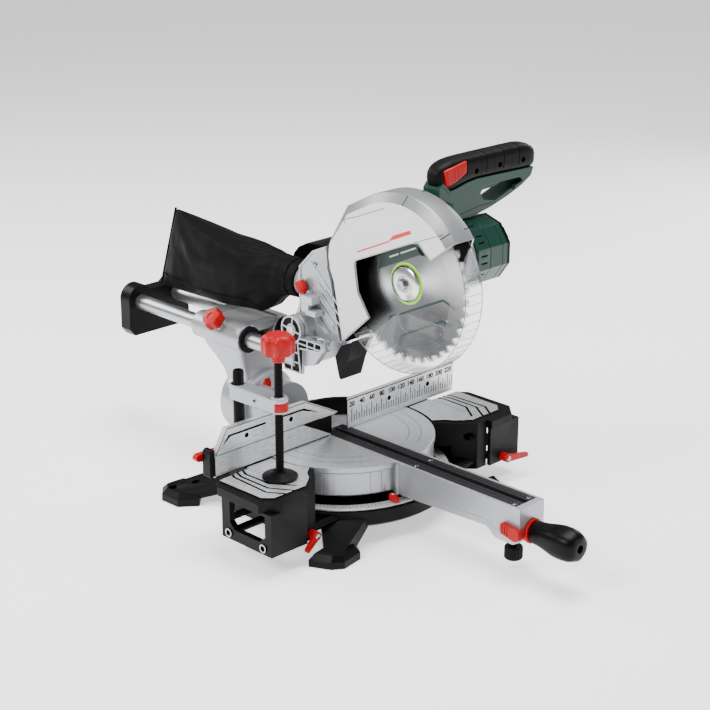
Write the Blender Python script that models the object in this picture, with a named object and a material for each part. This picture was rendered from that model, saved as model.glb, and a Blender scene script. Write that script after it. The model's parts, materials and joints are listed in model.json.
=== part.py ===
"""Cordless sliding compound mitre saw on its own bench feet.

X is the operator's right, -Y the operator's side, +Z up. The floor is Z 0, and the
mitre axis is the Z axis through the origin. Every size below is in millimetres;
solids are written to the scene in metres.
"""
import math

import bmesh
import bpy
from mathutils import Vector

MM = 0.001
GAP = 0.3

# Driving dimensions
TABLE_Z = 100.0
TABLE_R = 131.5
PAN_R = 158.0
PAN_TOP = 46.0
BLADE = (0.0, -123.5, 344.4)
BLADE_R = 108.0
BLADE_TEETH = 40
BLADE_HALF = 1.2
CHOP = (0.0, 50.0, 250.0)
RAIL_X = 35.0
RAIL_Z = 207.0
RAIL_R = 11.5
RAIL_FRONT = 48.0
RAIL_REAR = 412.0
BEVEL = (0.0, 150.0, TABLE_Z)
ROTOR = (0.0, -150.0, 376.0)
HANDLE_Y = -140.0
MITRE_GRIP_Z = 64.0
FENCE_TOP = 144.0
FENCE_DEPTH = 8.0
POST = (-173.0, 18.0)
CLAMP_SCREW = (-170.0, -58.0)
TUBE_Z = 38.0
TUBE_Y = {"front": -105.0, "rear": -38.0}
TUBE_R = 5.5
SEAM_X = 180.0
GUARD_OUT = 118.5
DOME_R = 124.0
DOME_WALL = 2.6
DOME_LEFT = -24.0
DOME_RIGHT = 22.0

PAINTS = {
    "cast_black": ((0.022, 0.022, 0.025), 0.55, 0.0),
    "plastic_black": ((0.018, 0.018, 0.020), 0.45, 0.0),
    "rubber_black": ((0.015, 0.015, 0.016), 0.70, 0.0),
    "silver_paint": ((0.62, 0.63, 0.65), 0.38, 0.6),
    "cast_silver": ((0.52, 0.53, 0.55), 0.42, 0.8),
    "brushed": ((0.72, 0.73, 0.75), 0.28, 1.0),
    "chrome": ((0.80, 0.81, 0.83), 0.10, 1.0),
    "steel": ((0.55, 0.55, 0.57), 0.25, 1.0),
    "cover_white": ((0.78, 0.78, 0.79), 0.40, 0.1),
    "green": ((0.010, 0.085, 0.055), 0.38, 0.0),
    "red": ((0.62, 0.015, 0.018), 0.40, 0.0),
    "kerf_grey": ((0.07, 0.07, 0.075), 0.50, 0.0),
    "clear": ((0.90, 0.92, 0.93), 0.08, 0.0),
    "fabric_black": ((0.012, 0.012, 0.013), 0.90, 0.0),
}


# Scene helpers

def clear_scene():
    for item in list(bpy.data.objects):
        bpy.data.objects.remove(item, do_unlink=True)


def paint(name):
    """The Principled material of one finish, made on first use."""
    found = bpy.data.materials.get(name)
    if found:
        return found
    colour, roughness, metallic = PAINTS[name]
    material = bpy.data.materials.new(name)
    material.use_nodes = True
    shader = material.node_tree.nodes["Principled BSDF"]
    shader.inputs["Base Color"].default_value = (*colour, 1.0)
    shader.inputs["Roughness"].default_value = roughness
    shader.inputs["Metallic"].default_value = metallic
    return material


def pivot(name, at=(0.0, 0.0, 0.0), parent=None):
    """An empty on a joint's axis, which carries one moving group."""
    empty = bpy.data.objects.new(name, None)
    bpy.context.collection.objects.link(empty)
    empty["at"] = at
    start = parent["at"] if parent else (0.0, 0.0, 0.0)
    empty.location = (Vector(at) - Vector(start)) * MM
    empty.parent = parent
    return empty


def to_object(name, shape, group):
    """Write a shape in world millimetres to an object whose origin is its group's pivot."""
    origin = Vector(group["at"])
    for vertex in shape.verts:
        vertex.co = (vertex.co - origin) * MM
    bmesh.ops.recalc_face_normals(shape, faces=shape.faces)
    mesh = bpy.data.meshes.new(name)
    shape.to_mesh(mesh)
    shape.free()
    thing = bpy.data.objects.new(name, mesh)
    bpy.context.collection.objects.link(thing)
    thing.parent = group
    return thing


def node(name, group, finish, shape, adds=(), cuts=()):
    """One sub-part: a shape, the shapes joined to it, then the shapes cut from it."""
    thing = to_object(name, shape, group)
    thing.data.materials.append(paint(finish))
    thing.data.shade_smooth()
    thing.data.set_sharp_from_angle(angle=math.radians(35))
    steps = [("UNION", item) for item in adds] + [("DIFFERENCE", item) for item in cuts]
    for count, (operation, item) in enumerate(steps):
        tool = to_object(f"{name}.tool{count}", item, group)
        tool.hide_render = True
        tool.display_type = "WIRE"
        modifier = thing.modifiers.new(f"{operation.lower()}{count}", "BOOLEAN")
        modifier.operation = operation
        modifier.solver = "EXACT"
        modifier.object = tool
    return thing


# Shape helpers

def lift(axis, u, v, w):
    """The point with w along the axis, and u and v along the two others, in X, Y, Z order."""
    if axis == "X":
        return Vector((w, u, v))
    if axis == "Y":
        return Vector((u, w, v))
    return Vector((u, v, w))


def prism(axis, low, high, outline):
    """An outline extruded along an axis."""
    shape = bmesh.new()
    ends = []
    for w in (low, high):
        ring = [shape.verts.new(lift(axis, u, v, w)) for u, v in outline]
        ends.append(ring)
        shape.faces.new(ring)
    count = len(outline)
    for k in range(count):
        other = (k + 1) % count
        shape.faces.new((ends[0][k], ends[0][other], ends[1][other], ends[1][k]))
    return shape


def box(x, y, z):
    return prism("Z", z[0], z[1], [(x[0], y[0]), (x[1], y[0]), (x[1], y[1]), (x[0], y[1])])


def circle(u, v, radius, sides, start=0.0):
    turn = math.tau / sides
    return [
        (u + radius * math.cos(start + k * turn), v + radius * math.sin(start + k * turn))
        for k in range(sides)
    ]


def arc(u, v, radius, first, last, steps):
    """Points on an arc, with its angles in degrees."""
    points = []
    for k in range(steps + 1):
        angle = math.radians(first + (last - first) * k / steps)
        points.append((u + radius * math.cos(angle), v + radius * math.sin(angle)))
    return points


def disc(axis, u, v, radius, low, high, sides=28):
    return prism(axis, low, high, circle(u, v, radius, sides))


def turned(axis, u, v, profile, sides=28, first=0.0, last=360.0):
    """A profile of (radius, distance along the axis) points, spun about the axis."""
    shape = bmesh.new()
    whole = last - first >= 360.0
    count = sides if whole else sides + 1
    rings = []
    for radius, w in profile:
        if radius == 0.0:
            rings.append([shape.verts.new(lift(axis, u, v, w))])
            continue
        ring = []
        for k in range(count):
            angle = math.radians(first + (last - first) * k / sides)
            spot = lift(axis, u + radius * math.cos(angle), v + radius * math.sin(angle), w)
            ring.append(shape.verts.new(spot))
        rings.append(ring)
    closed = profile[0][0] > 0.0
    pairs = list(zip(rings, rings[1:] + rings[:1] if closed else rings[1:]))
    for one, two in pairs:
        for k in range(sides):
            other = (k + 1) % count
            a = one[k % len(one)] if len(one) > 1 else one[0]
            b = one[other] if len(one) > 1 else one[0]
            c = two[other] if len(two) > 1 else two[0]
            d = two[k] if len(two) > 1 else two[0]
            corners = []
            for corner in (a, b, c, d):
                if corner not in corners:
                    corners.append(corner)
            if len(corners) > 2:
                shape.faces.new(corners)
    if not whole:
        shape.faces.new([ring[0] for ring in rings])
        shape.faces.new([ring[-1] for ring in rings])
    return shape


def hull(points):
    """The smallest convex solid around some points."""
    shape = bmesh.new()
    for point in points:
        shape.verts.new(point)
    result = bmesh.ops.convex_hull(shape, input=shape.verts)
    loose = {item for item in result["geom_interior"] if isinstance(item, bmesh.types.BMVert)}
    bmesh.ops.delete(shape, geom=list(loose), context="VERTS")
    bmesh.ops.dissolve_limit(
        shape, angle_limit=math.radians(1), verts=shape.verts, edges=shape.edges
    )
    return shape


def rod(start, end, radius, sides=24, end_radius=None):
    """A straight bar between any two points, which may taper."""
    start, end = Vector(start), Vector(end)
    along = (end - start).normalized()
    side = along.orthogonal().normalized()
    across = along.cross(side)
    shape = bmesh.new()
    rings = []
    for centre, size in ((start, radius), (end, end_radius or radius)):
        ring = []
        for k in range(sides):
            angle = math.tau * k / sides
            spot = centre + (side * math.cos(angle) + across * math.sin(angle)) * size
            ring.append(shape.verts.new(spot))
        rings.append(ring)
        shape.faces.new(ring)
    for k in range(sides):
        other = (k + 1) % sides
        shape.faces.new((rings[0][k], rings[0][other], rings[1][other], rings[1][k]))
    return shape


def mirrored(outline, side):
    """An outline drawn for the left side, flipped in X where side is +1."""
    return [(-side * u, v) for u, v in outline]


def span(side, near, far):
    """The X range between two distances from the middle, on the given side."""
    return tuple(sorted((side * near, side * far)))


# The fixed base

def foot_shapes(side, front):
    """The pad and the sloping leg of one corner, drawn for the left and mirrored."""
    if front:
        ground = [(-186, -128), (-172, -156), (-157, -166), (-122, -160), (-112, -143), (-130, -118)]
        sole = [(-160, -130), (-150, -156), (-120, -146), (-136, -120)]
        rim = [(-126, -88), (-80, -132)]
        centre = (-148, -142)
    else:
        ground = [(-166, 116), (-190, 135), (-191, 169), (-176, 186), (-142, 184), (-126, 156)]
        sole = [(-168, 128), (-184, 142), (-172, 176), (-138, 168)]
        rim = [(-130, 82), (-84, 130)]
        centre = (-160, 152)
    flip = -side
    top = [(centre[0] + (u - centre[0]) * 0.78, centre[1] + (v - centre[1]) * 0.78) for u, v in ground]
    pad = [Vector((flip * u, v, 0.0)) for u, v in ground]
    pad += [Vector((flip * u, v, 10.0)) for u, v in ground]
    pad += [Vector((flip * u, v, 18.0)) for u, v in top]
    leg = [Vector((flip * u, v, z)) for u, v in sole for z in (6.0, 17.0)]
    leg += [Vector((flip * u, v, z)) for u, v in rim for z in (23.0, 39.0)]
    return hull(pad), hull(leg)


def leg_window(side):
    """The opening that runs under the rim between a front leg's two struts."""
    low, high, half, reach = 5.0, 21.5, 11.0, 74.0
    middle = Vector((side * 116.0, -120.0, 0.0))
    out = Vector((side * 0.70, -0.714, 0.0))
    across = Vector((0.714, side * 0.70, 0.0))
    corners = []
    for a in (-reach, 6.0):
        for b in (-half, half):
            for z in (low, high):
                corners.append(middle + out * a + across * b + Vector((0, 0, z)))
    return hull(corners)


def side_block(side):
    outline = [(-SEAM_X, -114), (-160, -114), (-137, -90), (-118, -68), (-100, -45), (-100, 32)]
    outline += [(-SEAM_X, 32)]
    return prism("Z", 28.0, TABLE_Z - 1.7, mirrored(outline, side))


def base_casting(group):
    pan = turned("Z", 0, 0, [(0, 22), (150, 22), (PAN_R, 28), (PAN_R, PAN_TOP), (0, PAN_TOP)], 56)
    adds = [side_block(side) for side in (-1, 1)]
    cuts = [disc("Z", 0, 0, TABLE_R + 2.2, PAN_TOP - 0.5, TABLE_Z + 10, 56)]
    for side in (-1, 1):
        for front in (True, False):
            adds.extend(foot_shapes(side, front))
        cuts.append(leg_window(side))
        for y in TUBE_Y.values():
            cuts.append(disc("X", y, TUBE_Z, TUBE_R + GAP, *span(side, 55, 200), 14))
        cuts.append(disc("X", -28.0, 62.0, 9.0, *span(side, 160, 200), 16))
        cuts.append(disc("Y", side * 152.0, 78.0, 6.0, -130.0, -84.0, 16))
        cuts.append(disc("Z", side * -POST[0], POST[1], 7.6 + GAP, 60.0, TABLE_Z + 5, 16))
    channel = [(130, PAN_TOP - 0.5), (160, PAN_TOP - 0.5), (160, 63), (130, 63)]
    cuts.append(turned("Z", 0, 0, channel, 24, 196.0, 344.0))
    cuts.append(disc("Z", 0, 0, 9.3, 18.0, 60.0, 20))
    node("base_casting", group, "cast_black", pan, adds, cuts)


def degree_scale(group):
    outline = arc(0, 0, 137.0, 214, 326, 28) + arc(0, 0, 152.0, 326, 214, 28)
    node("degree_scale", group, "brushed", prism("Z", PAN_TOP + GAP, 49.0, outline))


def table_plate(group, side):
    seam = SEAM_X - GAP
    outline = [(-seam, -2), (-seam, -101), (-164.5, -101), (-143, -85), (-134.5, -72)]
    outline += arc(0, 0, TABLE_R + 3.5, 207, 181, 8)
    name = "left_table_plate" if side < 0 else "right_table_plate"
    thing = prism("Z", TABLE_Z - 1.4, TABLE_Z, mirrored(outline, side))
    node(name, group, "brushed", thing)


def fence(group):
    """The fixed fence: left and right faces joined by a bridge behind the blade."""
    bottom, back = TABLE_Z + GAP, FENCE_DEPTH
    right = prism("Z", bottom, FENCE_TOP, [(10, 0), (232, 0), (232, back), (19, back)])
    left = prism(
        "Y", 0, back,
        [(-232.6, bottom), (-21, bottom), (-21, 102), (-74, 129.7), (-232.6, 129.7)],
    )
    outline = arc(0, 0, 68.0, 4, 176, 16) + arc(0, 0, 62.0, 176, 4, 16)
    bridge = prism("Z", bottom, 126.0, outline)
    feet = []
    for side in (-1, 1):
        feet.append(box(span(side, 134, 184), (6, 30), (bottom, 108)))
    cuts = [
        disc("Z", POST[0], POST[1], 7.6 + GAP, 95, 115, 16),
        disc("Z", -POST[0], POST[1], 7.6 + GAP, 95, 115, 16),
    ]
    for x in (96.0, 177.0):
        cuts.append(disc("Y", x, 124.0, 3.4, -2, back + 2, 12))
    node("fence", group, "brushed", right, [left, bridge, *feet], cuts)


def clamp_post(group):
    node("clamp_post", group, "plastic_black", disc("Z", *POST, 7.6, 62.0, 232.0, 24))


def build_base():
    group = pivot("base_frame")
    base_casting(group)
    degree_scale(group)
    for side in (-1, 1):
        table_plate(group, side)
    fence(group)
    clamp_post(group)
    return group


# The sliding table extensions

def extension(base, side):
    word = "left" if side < 0 else "right"
    group = pivot(f"{word}_extension_slide", (side * SEAM_X, -70.0, TUBE_Z), base)
    seam = SEAM_X + GAP
    slab = [(-seam, -5), (-236, -8), (-246, -20), (-246, -100), (-224, -123), (-seam, -123)]
    frame = prism("Z", 86.0, TABLE_Z - 1.7, mirrored(slab, side))
    ends = box(span(side, 234, 243), (-121, -24), (29, 88))
    wall = box(span(side, seam, 236), (-121, -115), (29, 88))
    bar = box(span(side, seam, 236), (-33, -26), (50, 58))
    rear = box(span(side, seam, 236), (-33, -26), (78, 88))
    post = box(span(side, seam, 186), (-33, -26), (50, 88))
    window = prism(
        "X", *span(side, 220, 260),
        [(-108, 54), (-98, 45), (-50, 45), (-40, 54), (-40, 83), (-108, 83)],
    )
    cuts = [window]
    for y in TUBE_Y.values():
        cuts.append(disc("X", y, TUBE_Z, TUBE_R + GAP, *span(side, 150, 260), 14))
    node(f"{word}_extension_frame", group, "cast_black", frame, [ends, wall, bar, rear, post], cuts)
    plate = [(-seam, -6), (-233, -9), (-231, -89), (-219, -101), (-seam, -101)]
    node(
        f"{word}_extension_plate", group, "brushed",
        prism("Z", TABLE_Z - 1.4, TABLE_Z, mirrored(plate, side)),
    )
    for place, y in TUBE_Y.items():
        tube = disc("X", y, TUBE_Z, TUBE_R, *span(side, 62, 243.5), 16)
        node(f"{word}_extension_tube_{place}", group, "steel", tube)


def extension_lock(base, side):
    """The lever on the block's front that clamps the extension's tubes."""
    word = "left" if side < 0 else "right"
    hub = (side * 168.0, -118.0, 37.0)
    if side > 0:
        hub = (206.0, -126.0, 37.0)
    group = pivot(f"{word}_extension_lock_pivot", hub, base)
    front = hub[1] - 9.0
    if side < 0:
        shape = disc("Y", hub[0], hub[2], 6.5, front, hub[1] + 3.6, 20)
        tip = (hub[0] - 16.0, hub[2] - 15.0)
    else:
        shape = disc("Y", hub[0], hub[2], 6.5, front, hub[1] + 4.6, 20)
        tip = (hub[0] + 41.0, hub[2] - 6.0)
    arm = []
    for u, v, size in ((hub[0], hub[2], 5.5), (tip[0], tip[1], 3.2)):
        for w in (front, front + 5.0):
            arm += [Vector((a, w, b)) for a, b in circle(u, v, size, 10)]
    node(f"{word}_extension_lock", group, "red", shape, [hull(arm)])


def build_extensions(base):
    for side in (-1, 1):
        extension(base, side)
        extension_lock(base, side)


# The sliding upper fence on the left

def upper_fence(base):
    group = pivot("left_fence_slide", (-140.0, 4.0, 130.0), base)
    back = FENCE_DEPTH
    face = prism(
        "Y", 0, back,
        [(-231, 130), (-14, 130), (-7, 131.5), (-68, 162.5), (-211, 164)],
    )
    bracket = box((-215, -110), (back - 1, 10.0), (134, 150))
    keeper = box((-215, -110), (back + GAP, 10.0), (112, 135))
    cuts = [prism("Z", 125, 170, [(-7, -1), (5, -1), (5, 9), (-18, 9)])]
    for x in (-176.0, -96.0):
        cuts.append(disc("Y", x, 145.0, 3.4, -2, 14, 16))
    node("left_fence_upper", group, "brushed", face, [bracket, keeper], cuts)
    cap = prism("Y", -2, 14, [(-242, 103), (-233.3, 103), (-233.3, 141), (-239, 141), (-242, 137)])
    node("left_fence_end_cap", group, "plastic_black", cap)


def fence_lock(base):
    """The lever behind the fence's left end that holds the upper fence."""
    hub = (-212.0, 20.0, 120.0)
    group = pivot("left_fence_lock_pivot", hub, base)
    shape = disc("Y", hub[0], hub[2], 8.0, 12.0, 26.0, 20)
    arm = []
    for u, v, size in ((hub[0], hub[2] + 4.0, 7.0), (-245.0, 127.0, 5.0)):
        for w in (15.5, 24.5):
            arm += [Vector((a, w, b)) for a, b in circle(u, v, size, 10)]
    node("left_fence_lock", group, "red", shape, [hull(arm)])


# The turntable with its arm

def turntable(group):
    drum = turned(
        "Z", 0, 0,
        [(0, 56), (124, 56), (TABLE_R, 60), (TABLE_R, 98.5), (TABLE_R - 1, TABLE_Z), (0, TABLE_Z)], 60,
    )
    bearing = disc("Z", 0, 0, 60.0, PAN_TOP - 0.2, 58.0, 32)
    arm = prism(
        "X", -24.2, 24.2,
        [(-100, 58), (-141, 53), (-292, 60), (-305, 48), (-338, 48), (-346, 56),
         (-346, TABLE_Z), (-100, TABLE_Z)],
    )
    tail = box((-33, 33), (90, 148), (57, 96))
    boss = disc("Y", BEVEL[0], BEVEL[2], 42.0, 112.0, BEVEL[1], 36)
    cuts = [
        box((-20.3, 20.3), (-336.3, 18.3), (84.0, TABLE_Z + 5)),
        disc("Z", 0, 0, 8.3, 40, 70, 20),
        disc("Z", 0, -318.0, 5.0 + GAP, 40, 66, 16),
        disc("Y", 0, MITRE_GRIP_Z, 5.0 + GAP, -350, -338, 16),
        disc("Y", BEVEL[0], BEVEL[2], 10.0 + GAP, 104, 155, 24),
    ]
    node("turntable", group, "silver_paint", drum, [bearing, arm, tail, boss], cuts)


def kerf_inserts(group):
    """The two strips beside the kerf, which leave a slot for the blade at every bevel."""
    for word, across in (("left", (-20, -2.5)), ("right", (6.5, 20))):
        strip = box(across, (-336, 18), (84.3, TABLE_Z - 0.2))
        node(f"{word}_kerf_insert", group, "kerf_grey", strip)


def mitre_pointer(group):
    body = box((-42, -35), (-146, -133), (50.3, 61.5))
    tip = hull([
        Vector((-42, -146, 51)), Vector((-35, -146, 51)), Vector((-38.5, -151, 50)),
        Vector((-42, -146, 57)), Vector((-35, -146, 57)),
    ])
    node("mitre_pointer", group, "red", body, [tip])


def pivot_bolt(group):
    shape = turned("Z", 0, 0, [(0, 19), (9, 19), (9, 45), (8, 45), (8, 69), (0, 69)], 20)
    node("mitre_pivot_bolt", group, "steel", shape)


def bevel_axle(group):
    shape = disc("Y", BEVEL[0], BEVEL[2], 10.0, 105.0, 208.0, 24)
    node("bevel_axle", group, "steel", shape)


def support_foot(table):
    group = pivot("support_foot_slide", (0.0, -318.0, 15.0), table)
    shape = turned(
        "Z", 0, -318.0,
        [(0, 15), (11, 15), (12.5, 17), (12.5, 31), (11.5, 33), (5, 33), (5, 62), (0, 62)], 24,
    )
    node("support_foot", group, "rubber_black", shape)


def mitre_handle(table):
    group = pivot("mitre_handle_pivot", (0.0, -352.0, MITRE_GRIP_Z), table)
    profile = [
        (0, -425), (14, -425), (19.5, -420), (22.3, -410), (22.5, -396), (19.5, -378),
        (16, -364), (15.5, -356), (13, -352), (5, -352), (5, -339), (0, -339),
    ]
    node(
        "mitre_handle", group, "plastic_black",
        turned("Y", 0, MITRE_GRIP_Z, profile, 24),
    )


def mitre_latch(table):
    """The detent release beside the arm's end, joined to a tab across its front."""
    group = pivot("mitre_latch_pivot", (-25.0, -348.5, 65.0), table)
    lever = box((-32, -24.8), (-349.5, -320), (57, 73))
    tab = box((-32, -8), (-349.5, -347.5), (61, 69))
    node("mitre_latch", group, "red", lever, [tab])


def bevel_lock(table):
    group = pivot("bevel_lock_pivot", (-50.0, 134.0, 141.0), table)
    shape = disc("Y", -50, 141, 6.0, 127, 141, 16)
    arm = []
    for u, v, size in ((-50.0, 141.0, 6.0), (-78.0, 154.0, 5.0)):
        for w in (128.0, 140.0):
            arm += [Vector((a, w, b)) for a, b in circle(u, v, size, 10)]
    cuts = [disc("Y", BEVEL[0], BEVEL[2], 42.6, 100, 160, 36)]
    node("bevel_lock_lever", group, "red", shape, [hull(arm)], cuts)


def build_turntable(base):
    table = pivot("mitre_pivot", (0.0, 0.0, 0.0), base)
    turntable(table)
    kerf_inserts(table)
    mitre_pointer(table)
    pivot_bolt(table)
    bevel_axle(table)
    support_foot(table)
    mitre_handle(table)
    mitre_latch(table)
    bevel_lock(table)
    return table


# The bevel column that carries the rails

def bevel_column(group):
    hub = turned(
        "Y", BEVEL[0], BEVEL[2],
        [(0, 150.4), (48, 150.4), (52, 155), (52, 199), (48, 205), (0, 205)], 36,
    )
    neck = hull([
        Vector((x, y, z))
        for x, y, z in (
            (-40, 158, 118), (40, 158, 118), (-40, 203, 118), (40, 203, 118),
            (-36, 160, 150), (36, 160, 150), (-36, 222, 152), (36, 222, 152),
            (-45, 162, 190), (45, 162, 190), (-45, 250, 190), (45, 250, 190),
        )
    ])
    sleeves = [disc("Y", side * RAIL_X, RAIL_Z, 20.5, 155, 260, 28) for side in (-1, 1)]
    deck = box((-36, 36), (157, 258), (214, 225.5))
    web = box((-34, 34), (157, 256), (187, 200))
    cuts = [disc("Y", side * RAIL_X, RAIL_Z, RAIL_R + GAP, 140, 270, 24) for side in (-1, 1)]
    cuts.append(disc("Y", BEVEL[0], BEVEL[2], 10.0 + GAP, 140, 215, 24))
    along = Vector((-1, 0, 1)).normalized()
    start = Vector((-RAIL_X, 200, RAIL_Z))
    cuts.append(rod(start + along * 13, start + along * 26, 4.0 + GAP, 16))
    node("bevel_column", group, "cast_silver", hub, [neck, *sleeves, deck, web], cuts)


def rail_seal(group, side):
    word = "left" if side < 0 else "right"
    profile = [(RAIL_R + 0.6, 150.2), (19.5, 150.2), (19.5, 154.7), (RAIL_R + 0.6, 154.7)]
    shape = turned("Y", side * RAIL_X, RAIL_Z, profile, 24)
    node(f"{word}_rail_seal", group, "rubber_black", shape)


def rail_lock(column):
    along = Vector((-1, 0, 1)).normalized()
    start = Vector((-RAIL_X, 200, RAIL_Z))
    group = pivot("rail_lock_pivot", tuple(start), column)
    shape = rod(start + along * 27, start + along * 45, 16.0, 20)
    stud = rod(start + along * 13.5, start + along * 30, 4.0, 16)
    node("rail_lock_knob", group, "red", shape, [stud])


def build_column(table):
    column = pivot("bevel_pivot", BEVEL, table)
    bevel_column(column)
    for side in (-1, 1):
        rail_seal(column, side)
    rail_lock(column)
    return column


# The carriage: rails, end cap and the fork that holds the head

def head_carrier(group):
    y, z = CHOP[1], CHOP[2]
    sockets = [disc("Y", side * RAIL_X, RAIL_Z, 15.5, 44, 80, 24) for side in (-1, 1)]
    bridge = box((-36, 36), (44, 80), (192, 203))
    cheeks = []
    for side in (-1, 1):
        outline = [(36, 189), (66, 189), (72, 200)]
        outline += arc(y, z, 20.0, -20, 200, 12) + [(30, 238)]
        cheeks.append(prism("X", *span(side, 41, 48), outline))
    lug = prism("X", -48, -41, [(34, 226), (34, 242), (-6, 238), (-6, 230)])
    cuts = [disc("Y", side * RAIL_X, RAIL_Z, RAIL_R + GAP, 47.7, 90, 24) for side in (-1, 1)]
    cuts.append(disc("X", y, z, 6.0 + GAP, -60, 60, 16))
    node("head_carrier", group, "cast_silver", bridge, [*sockets, *cheeks, lug], cuts)


def rail_end_cap(group):
    outline = [(-58, 165), (-50, 155), (50, 155), (58, 165)]
    outline += arc(RAIL_X, RAIL_Z + 4, 23.0, -10, 115, 8)
    outline += [(14, 222), (-14, 222)]
    outline += arc(-RAIL_X, RAIL_Z + 4, 23.0, 65, 190, 8)
    cuts = [
        disc("Y", side * RAIL_X, RAIL_Z, RAIL_R + GAP, 390, RAIL_REAR + GAP, 24)
        for side in (-1, 1)
    ]
    node("rail_end_cap", group, "plastic_black", prism("Y", 402, 425, outline), cuts=cuts)


def build_carriage(column):
    group = pivot("rail_slide", (0.0, RAIL_FRONT, RAIL_Z), column)
    for side, word in ((-1, "left"), (1, "right")):
        rail = disc("Y", side * RAIL_X, RAIL_Z, RAIL_R, RAIL_FRONT, RAIL_REAR, 28)
        node(f"{word}_rail", group, "chrome", rail)
    rail_end_cap(group)
    head_carrier(group)
    pin = disc("X", CHOP[1], CHOP[2], 6.0, -49.5, 49.5, 20)
    node("chop_pin", group, "steel", pin)
    return group


# The head

def dome_outline():
    """The blade cover's side view: straight at the rear and round over the blade."""
    y, z = BLADE[1], BLADE[2]
    points = [(-22, 242), (-4, 327), (3, 344), (6, 380), (-27, 434)]
    return points + arc(y, z, DOME_R, 64, 142, 16)


def upper_guard(group):
    y, z = BLADE[1], BLADE[2]
    outer = dome_outline()
    inner = []
    for u, v in outer:
        reach = math.hypot(u - y, v - z)
        inner.append((y + (u - y) * (1 - DOME_WALL / reach), z + (v - z) * (1 - DOME_WALL / reach)))
    rim = prism("X", DOME_LEFT, DOME_RIGHT, outer + inner[::-1])
    window = [(-186, 392), (-154, 411), (-54, 363), (-50, 357), (-56, 322), (-77, 291)]
    left = prism("X", DOME_LEFT, DOME_LEFT + DOME_WALL, outer + window)
    lower = [(-200, 360), (-195, 300), (-140, 262), (-77, 262)]
    right = prism("X", DOME_RIGHT - DOME_WALL, DOME_RIGHT, outer + lower)
    cuts = [disc("X", y, z, 27.4, 0, 40, 28)]
    node("upper_guard", group, "cover_white", rim, [left, right], cuts)


def head_casting(group):
    y, z = CHOP[1], CHOP[2]
    arm = prism(
        "X", -20, 38,
        [(66, 238), (52, 232), (36, 238), (-18.5, 241), (-1.2, 326), (5.8, 343), (8.8, 372),
         (36, 360), (62, 334), (62, 281), (70, 262)],
    )
    boss = disc("X", y, z, 20.0, -38, 38, 24)
    plate = prism(
        "X", DOME_RIGHT + GAP, 38,
        [(40, 240), (-60, 285), (-123, 304), (-176, 352), (-182, 392), (-150, 406), (-60, 392),
         (20, 366), (50, 330)],
    )
    case = disc("X", BLADE[1], BLADE[2], 42.0, DOME_RIGHT + GAP, 60, 28)
    motor_end = disc("X", ROTOR[1], ROTOR[2], 40.0, DOME_RIGHT + GAP, 60, 28)
    nose = disc("X", BLADE[1], BLADE[2], 27.0, 8, 30, 28)
    lug = box((-36, -18), (28, 42), (276, 292))
    saddle = box((DOME_RIGHT + GAP, 40), (-164, -116), (396, 423.7))
    along = (Vector((0, 38.6, 313.4)) - Vector((0, 5.4, 266.4))).normalized()
    middle = Vector((-28.5, 33, 285))
    screw_bore = rod(middle - along * 20, middle + along * 20, 2.5 + GAP, 16)
    cuts = [
        disc("X", y, z, 6.0 + GAP, -60, 60, 16),
        disc("X", BLADE[1], BLADE[2], 10.0 + GAP, 0, 45, 20),
        disc("X", BLADE[1], BLADE[2], 34.0, 39, 52, 28),
        disc("X", ROTOR[1], ROTOR[2], 9.6, 39, 70, 20),
        screw_bore,
    ]
    node("head_casting", group, "cast_silver", arm, [boss, plate, case, motor_end, saddle, nose, lug], cuts)


def motor(group):
    """The ten-sided motor shell and its end cap."""
    y, z = ROTOR[1], ROTOR[2]
    half_side = math.pi / 10
    shell = prism("X", 60.3, 118.0, circle(y, z, 46.0, 10, half_side))
    bore = disc("X", y, z, 24.0, 63, 125, 28)
    neck = disc("X", y, z, 9.6, 50, 70, 20)
    node("motor_housing", group, "green", shell, cuts=[bore, neck])
    cap = prism("X", 118.3, 124.0, circle(y, z, 46.0, 10, half_side))
    crown = hull(
        [Vector((123.0, a, b)) for a, b in circle(y, z, 46.0, 10, half_side)]
        + [Vector((131.0, a, b)) for a, b in circle(y, z, 36.0, 10, half_side)]
    )
    bearing = disc("X", y, z, 5.0 + GAP, 110, 126, 16)
    node("motor_end_cap", group, "plastic_black", cap, [crown], [bearing])


def handle(group):
    """The closed loop handle: a green body below and a black grip above."""
    y = HANDLE_Y
    parting = [(212, 463), (204, 468.7), (98, 471.7), (60, 460.5), (46, 463.7)]
    body = [(30, 424), (64, 424), (88, 422.6), (165, 440), (210, 459)] + parting + [(34, 478), (26, 470)]
    opening = [(106, 452), (116, 462), (186, 460), (190, 455), (135, 438), (112, 443)]
    foot = hull([
        Vector((x, b, z))
        for x in (DOME_RIGHT + GAP, 40)
        for b, z in ((-172, 424), (-108, 424), (-112, 452), (-166, 452))
    ])
    trigger_slot = box((126, 160), (y - 8.3, y + 8.3), (450, 480))
    cuts = [prism("Y", y - 40, y + 40, opening), trigger_slot]
    shape = prism("Y", y - 14, y + 14, body)
    node("handle_body", group, "green", shape, [foot], cuts)
    raised = [(u, v + GAP) for u, v in parting]
    top = [(34.5, 479.5), (52, 496), (68, 503), (198, 503), (214, 498), (223, 486), (219, 471)]
    grip = prism("Y", y - 17, y + 17, raised[::-1] + top[::-1])
    pocket = box((47.7, 68.3), (y - 20, y - 8), (469.7, 491.3))
    node("handle_grip", group, "rubber_black", grip, cuts=[pocket])


def dust_port(group):
    ring = [(19.0, 62.3), (22.0, 62.3), (22.0, 96.0), (19.0, 96.0)]
    node("dust_chute", group, "silver_paint", turned("Y", 2.0, 306.0, ring, 28))


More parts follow.
